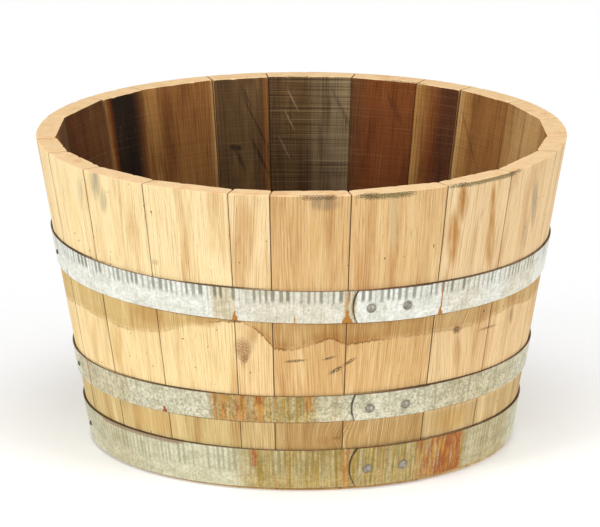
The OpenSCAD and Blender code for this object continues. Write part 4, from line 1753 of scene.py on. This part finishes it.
@dataclass(frozen=True)
class Studio:
    """Camera, lamps, pale floor and white surroundings. A lamp has a name, a place, a width and watts."""

    camera_at: tuple[float, float, float] = (-0.0018, -7.3072, 2.1678)
    camera_pitch: float = 0.2594
    focal_px: float = 5702.17
    frame_px: float = 600.0
    sensor: float = 36.0
    surround: float = 0.42
    floor_r: float = 1.1
    floor_glow: float = 0.16
    aim: tuple[float, float, float] = (0.0, 0.0, 0.2)
    lamps: tuple[tuple, ...] = (("key", (-4.2, -3.5, 1.8), 2.2, 205), ("fill", (4.5, -3.2, 1.3), 2.6, 165),
                                ("above", (0.3, -0.9, 3.6), 2.0, 45))

    def camera(self) -> None:
        """Puts the camera where the photograph was taken from."""
        data = bpy.data.cameras.new("camera")
        data.sensor_width, data.sensor_fit = self.sensor, "HORIZONTAL"
        data.lens = self.focal_px / self.frame_px * self.sensor
        data.clip_end = 100
        camera = new_object("camera", data)
        camera.location = self.camera_at
        camera.rotation_euler = (math.pi / 2 - self.camera_pitch, 0, 0)
        bpy.context.scene.camera = camera

    def lamp(self, name: str, at: tuple[float, float, float], size: float, watts: float) -> None:
        """Adds a soft square lamp that faces the tub.

        Args:
            name: Name of the lamp.
            at: Its place.
            size: Its width.
            watts: Its power.
        """
        data = bpy.data.lights.new(name, "AREA")
        data.size, data.energy = size, watts
        lamp = new_object(name, data)
        lamp.location = at
        lamp.rotation_euler = (Vector(self.aim) - Vector(at)).to_track_quat("-Z", "Y").to_euler()

    def world(self) -> None:
        """White for the camera and in reflections, and a plain grey level of light otherwise."""
        world = bpy.data.worlds.new("surround")
        bpy.context.scene.world = world
        world.use_nodes = True
        n = Nodes(world.node_tree)
        world.node_tree.nodes.clear()
        path = n.add("ShaderNodeLightPath").outputs
        mirrored = n.math("MAXIMUM", path["Is Glossy Ray"], path["Is Transmission Ray"])
        seen = n.math("MAXIMUM", path["Is Camera Ray"], mirrored)
        strength = n.math("MULTIPLY_ADD", seen, 1 - self.surround, self.surround)
        back = n.add("ShaderNodeBackground", {"Color": (1.0, 1.0, 1.0), "Strength": strength})
        output = n.add("ShaderNodeOutputWorld")
        world.node_tree.links.new(back.outputs[0], output.inputs[0])

    def floor(self) -> None:
        """Pale round floor that keeps the tub's shadow and fades into the surroundings."""
        turn = np.linspace(0, 2 * np.pi, 97)[:-1]
        rim = polar(self.floor_r, turn, np.full_like(turn, -0.5 * MM))
        mesh = bpy.data.meshes.new("floor")
        mesh.from_pydata(rim.tolist(), [], [list(range(len(rim)))])
        floor = new_object("floor", mesh)
        finish = Finish("floor_white")
        n, shader = finish.n, finish.shader
        far = n.length(n.here())
        n.feed(shader.inputs["Alpha"], n.step(far, self.floor_r * 0.85, self.floor_r * 0.28))
        shader.inputs["Base Color"].default_value = (0.93, 0.93, 0.93, 1)
        shader.inputs["Emission Color"].default_value = (1.0, 1.0, 1.0, 1)
        shader.inputs["Emission Strength"].default_value = self.floor_glow
        shader.inputs["Roughness"].default_value = 0.9
        mesh.materials.append(finish.material)

    def build(self) -> None:
        """Sets up everything round the tub."""
        self.camera()
        self.world()
        self.floor()
        for lamp in self.lamps:
            self.lamp(*lamp)
        bpy.context.scene.view_settings.view_transform = "Standard"


def hoops(side: Side, effects: Effects) -> list[Hoop]:
    """The three hoops with their finishes, rust and splits, from the top down.

    Args:
        side: The side that they go round.
        effects: The shared node groups.
    Returns:
        The hoops.
    """
    upper = Zinc(effects, "upper_zinc", pale=(240, 240, 232), dull=(218, 218, 204), tick=(126, 128, 114),
                 tick_pitch=8.6 * MM, tick_from=0.60, tick_strength=0.9, spangle=0.25, split=(176, 118, 52))
    middle = Zinc(effects, "middle_zinc", pale=(218, 214, 190), dull=(196, 192, 164), tick=(150, 144, 116),
                  tick_pitch=9.5 * MM, tick_from=0.35, tick_strength=0.35, spangle=0.5, split=(150, 78, 40))
    foot = Zinc(effects, "foot_zinc", pale=(208, 204, 178), dull=(186, 182, 150), tick=(148, 148, 120),
                tick_pitch=7.2 * MM, tick_from=0.34, tick_strength=0.75, spangle=0.3, split=(160, 96, 40))
    return [
        Hoop(side, BANDS[0], upper, 1,
             rust=(Patch(281.0, 1.6, 0.35), Patch(70, 14, 0.42), Patch(120, 8, 0.35), Patch(160, 5, 0.3)),
             film=(Patch(268, 16, 0.35, 0.3), Patch(310, 8, 0.3, 0.2), Patch(331, 9, 0.3),
                   Patch(252.5, 3.2, 0.6), Patch(280.8, 1.6, 0.7), Patch(60, 30, 0.5), Patch(130, 14, 0.4)),
             splits=(Patch(254.8, 0.55, 0.95, top=0.74), Patch(268.4, 0.20, 0.8, top=0.7),
                     Patch(280.4, 1.0, 1.0, top=0.66), Patch(303.4, 0.5, 1.0), Patch(199.8, 0.30, 0.9),
                     Patch(98.2, 0.5, 0.9), Patch(48.2, 0.5, 0.9))),
        Hoop(side, BANDS[1], middle, 2,
             rust=(Patch(254.5, 6.7, 0.46, 0.96), Patch(264, 5, 0.30), Patch(271.8, 1.8, 0.55, foot=0.6),
                   Patch(278, 1.6, 0.30), Patch(202.5, 1.0, 0.45), Patch(60, 16, 0.45), Patch(110, 10, 0.4),
                   Patch(20, 8, 0.4)),
             film=(Patch(260.5, 12.8, 1.0, 0.95), Patch(277, 5, 0.3), Patch(210, 14, 0.35),
                   Patch(321, 18, 0.35), Patch(60, 30, 0.6)),
             splits=(Patch(233.8, 0.6, 0.85, top=0.8), Patch(202.3, 0.30, 0.6), Patch(77.7, 0.5, 0.9),
                     Patch(145.8, 0.5, 0.8))),
        Hoop(side, BANDS[2], foot, 3,
             rust=(Patch(257.8, 1.3, 0.60, 0.3, foot=0.45), Patch(281.5, 1.4, 0.44),
                   Patch(305.5, 6, 0.54, 0.6), Patch(311.5, 5.5, 0.68, 0.7), Patch(291, 3, 0.30),
                   Patch(268, 7, 0.26), Patch(80, 18, 0.45), Patch(150, 9, 0.4), Patch(10, 8, 0.4)),
             film=(Patch(275, 22, 1.0, 0.75), Patch(305, 15, 1.0, 0.7), Patch(330, 12, 0.6),
                   Patch(212, 12, 0.2), Patch(80, 40, 0.6)),
             splits=(Patch(112, 0.5, 0.8),),
             scrapes=(Patch(222, 18, 0.9, 0.7), Patch(274, 4, 0.5))),
    ]


def main() -> None:
    """Builds the studio and the tub's pieces in order, and reports each."""
    logging.basicConfig(level=logging.INFO, format="%(message)s")
    Studio().build()
    side, effects = Side(), Effects()
    ring = StaveRing(side)
    ring.dress(effects)
    pieces = ring.build()
    edge = BareIron("edge_iron", (96, 84, 66), (116, 66, 30), 0.42).build()
    rivet = BareIron("rivet_iron", (156, 153, 140), (136, 120, 92), 0.58).build()
    nail = BareIron("nail_iron", (74, 66, 56), (86, 58, 36), 0.45).build()
    for hoop in hoops(side, effects):
        pieces.append(hoop.build(edge))
        pieces += hoop.fasteners(rivet, nail)
    pieces += Head(effects).dress()
    for piece in pieces:
        LOG.info("%s: %d faces", piece.name, len(piece.data.polygons))


if __name__ == "__main__":
    main()
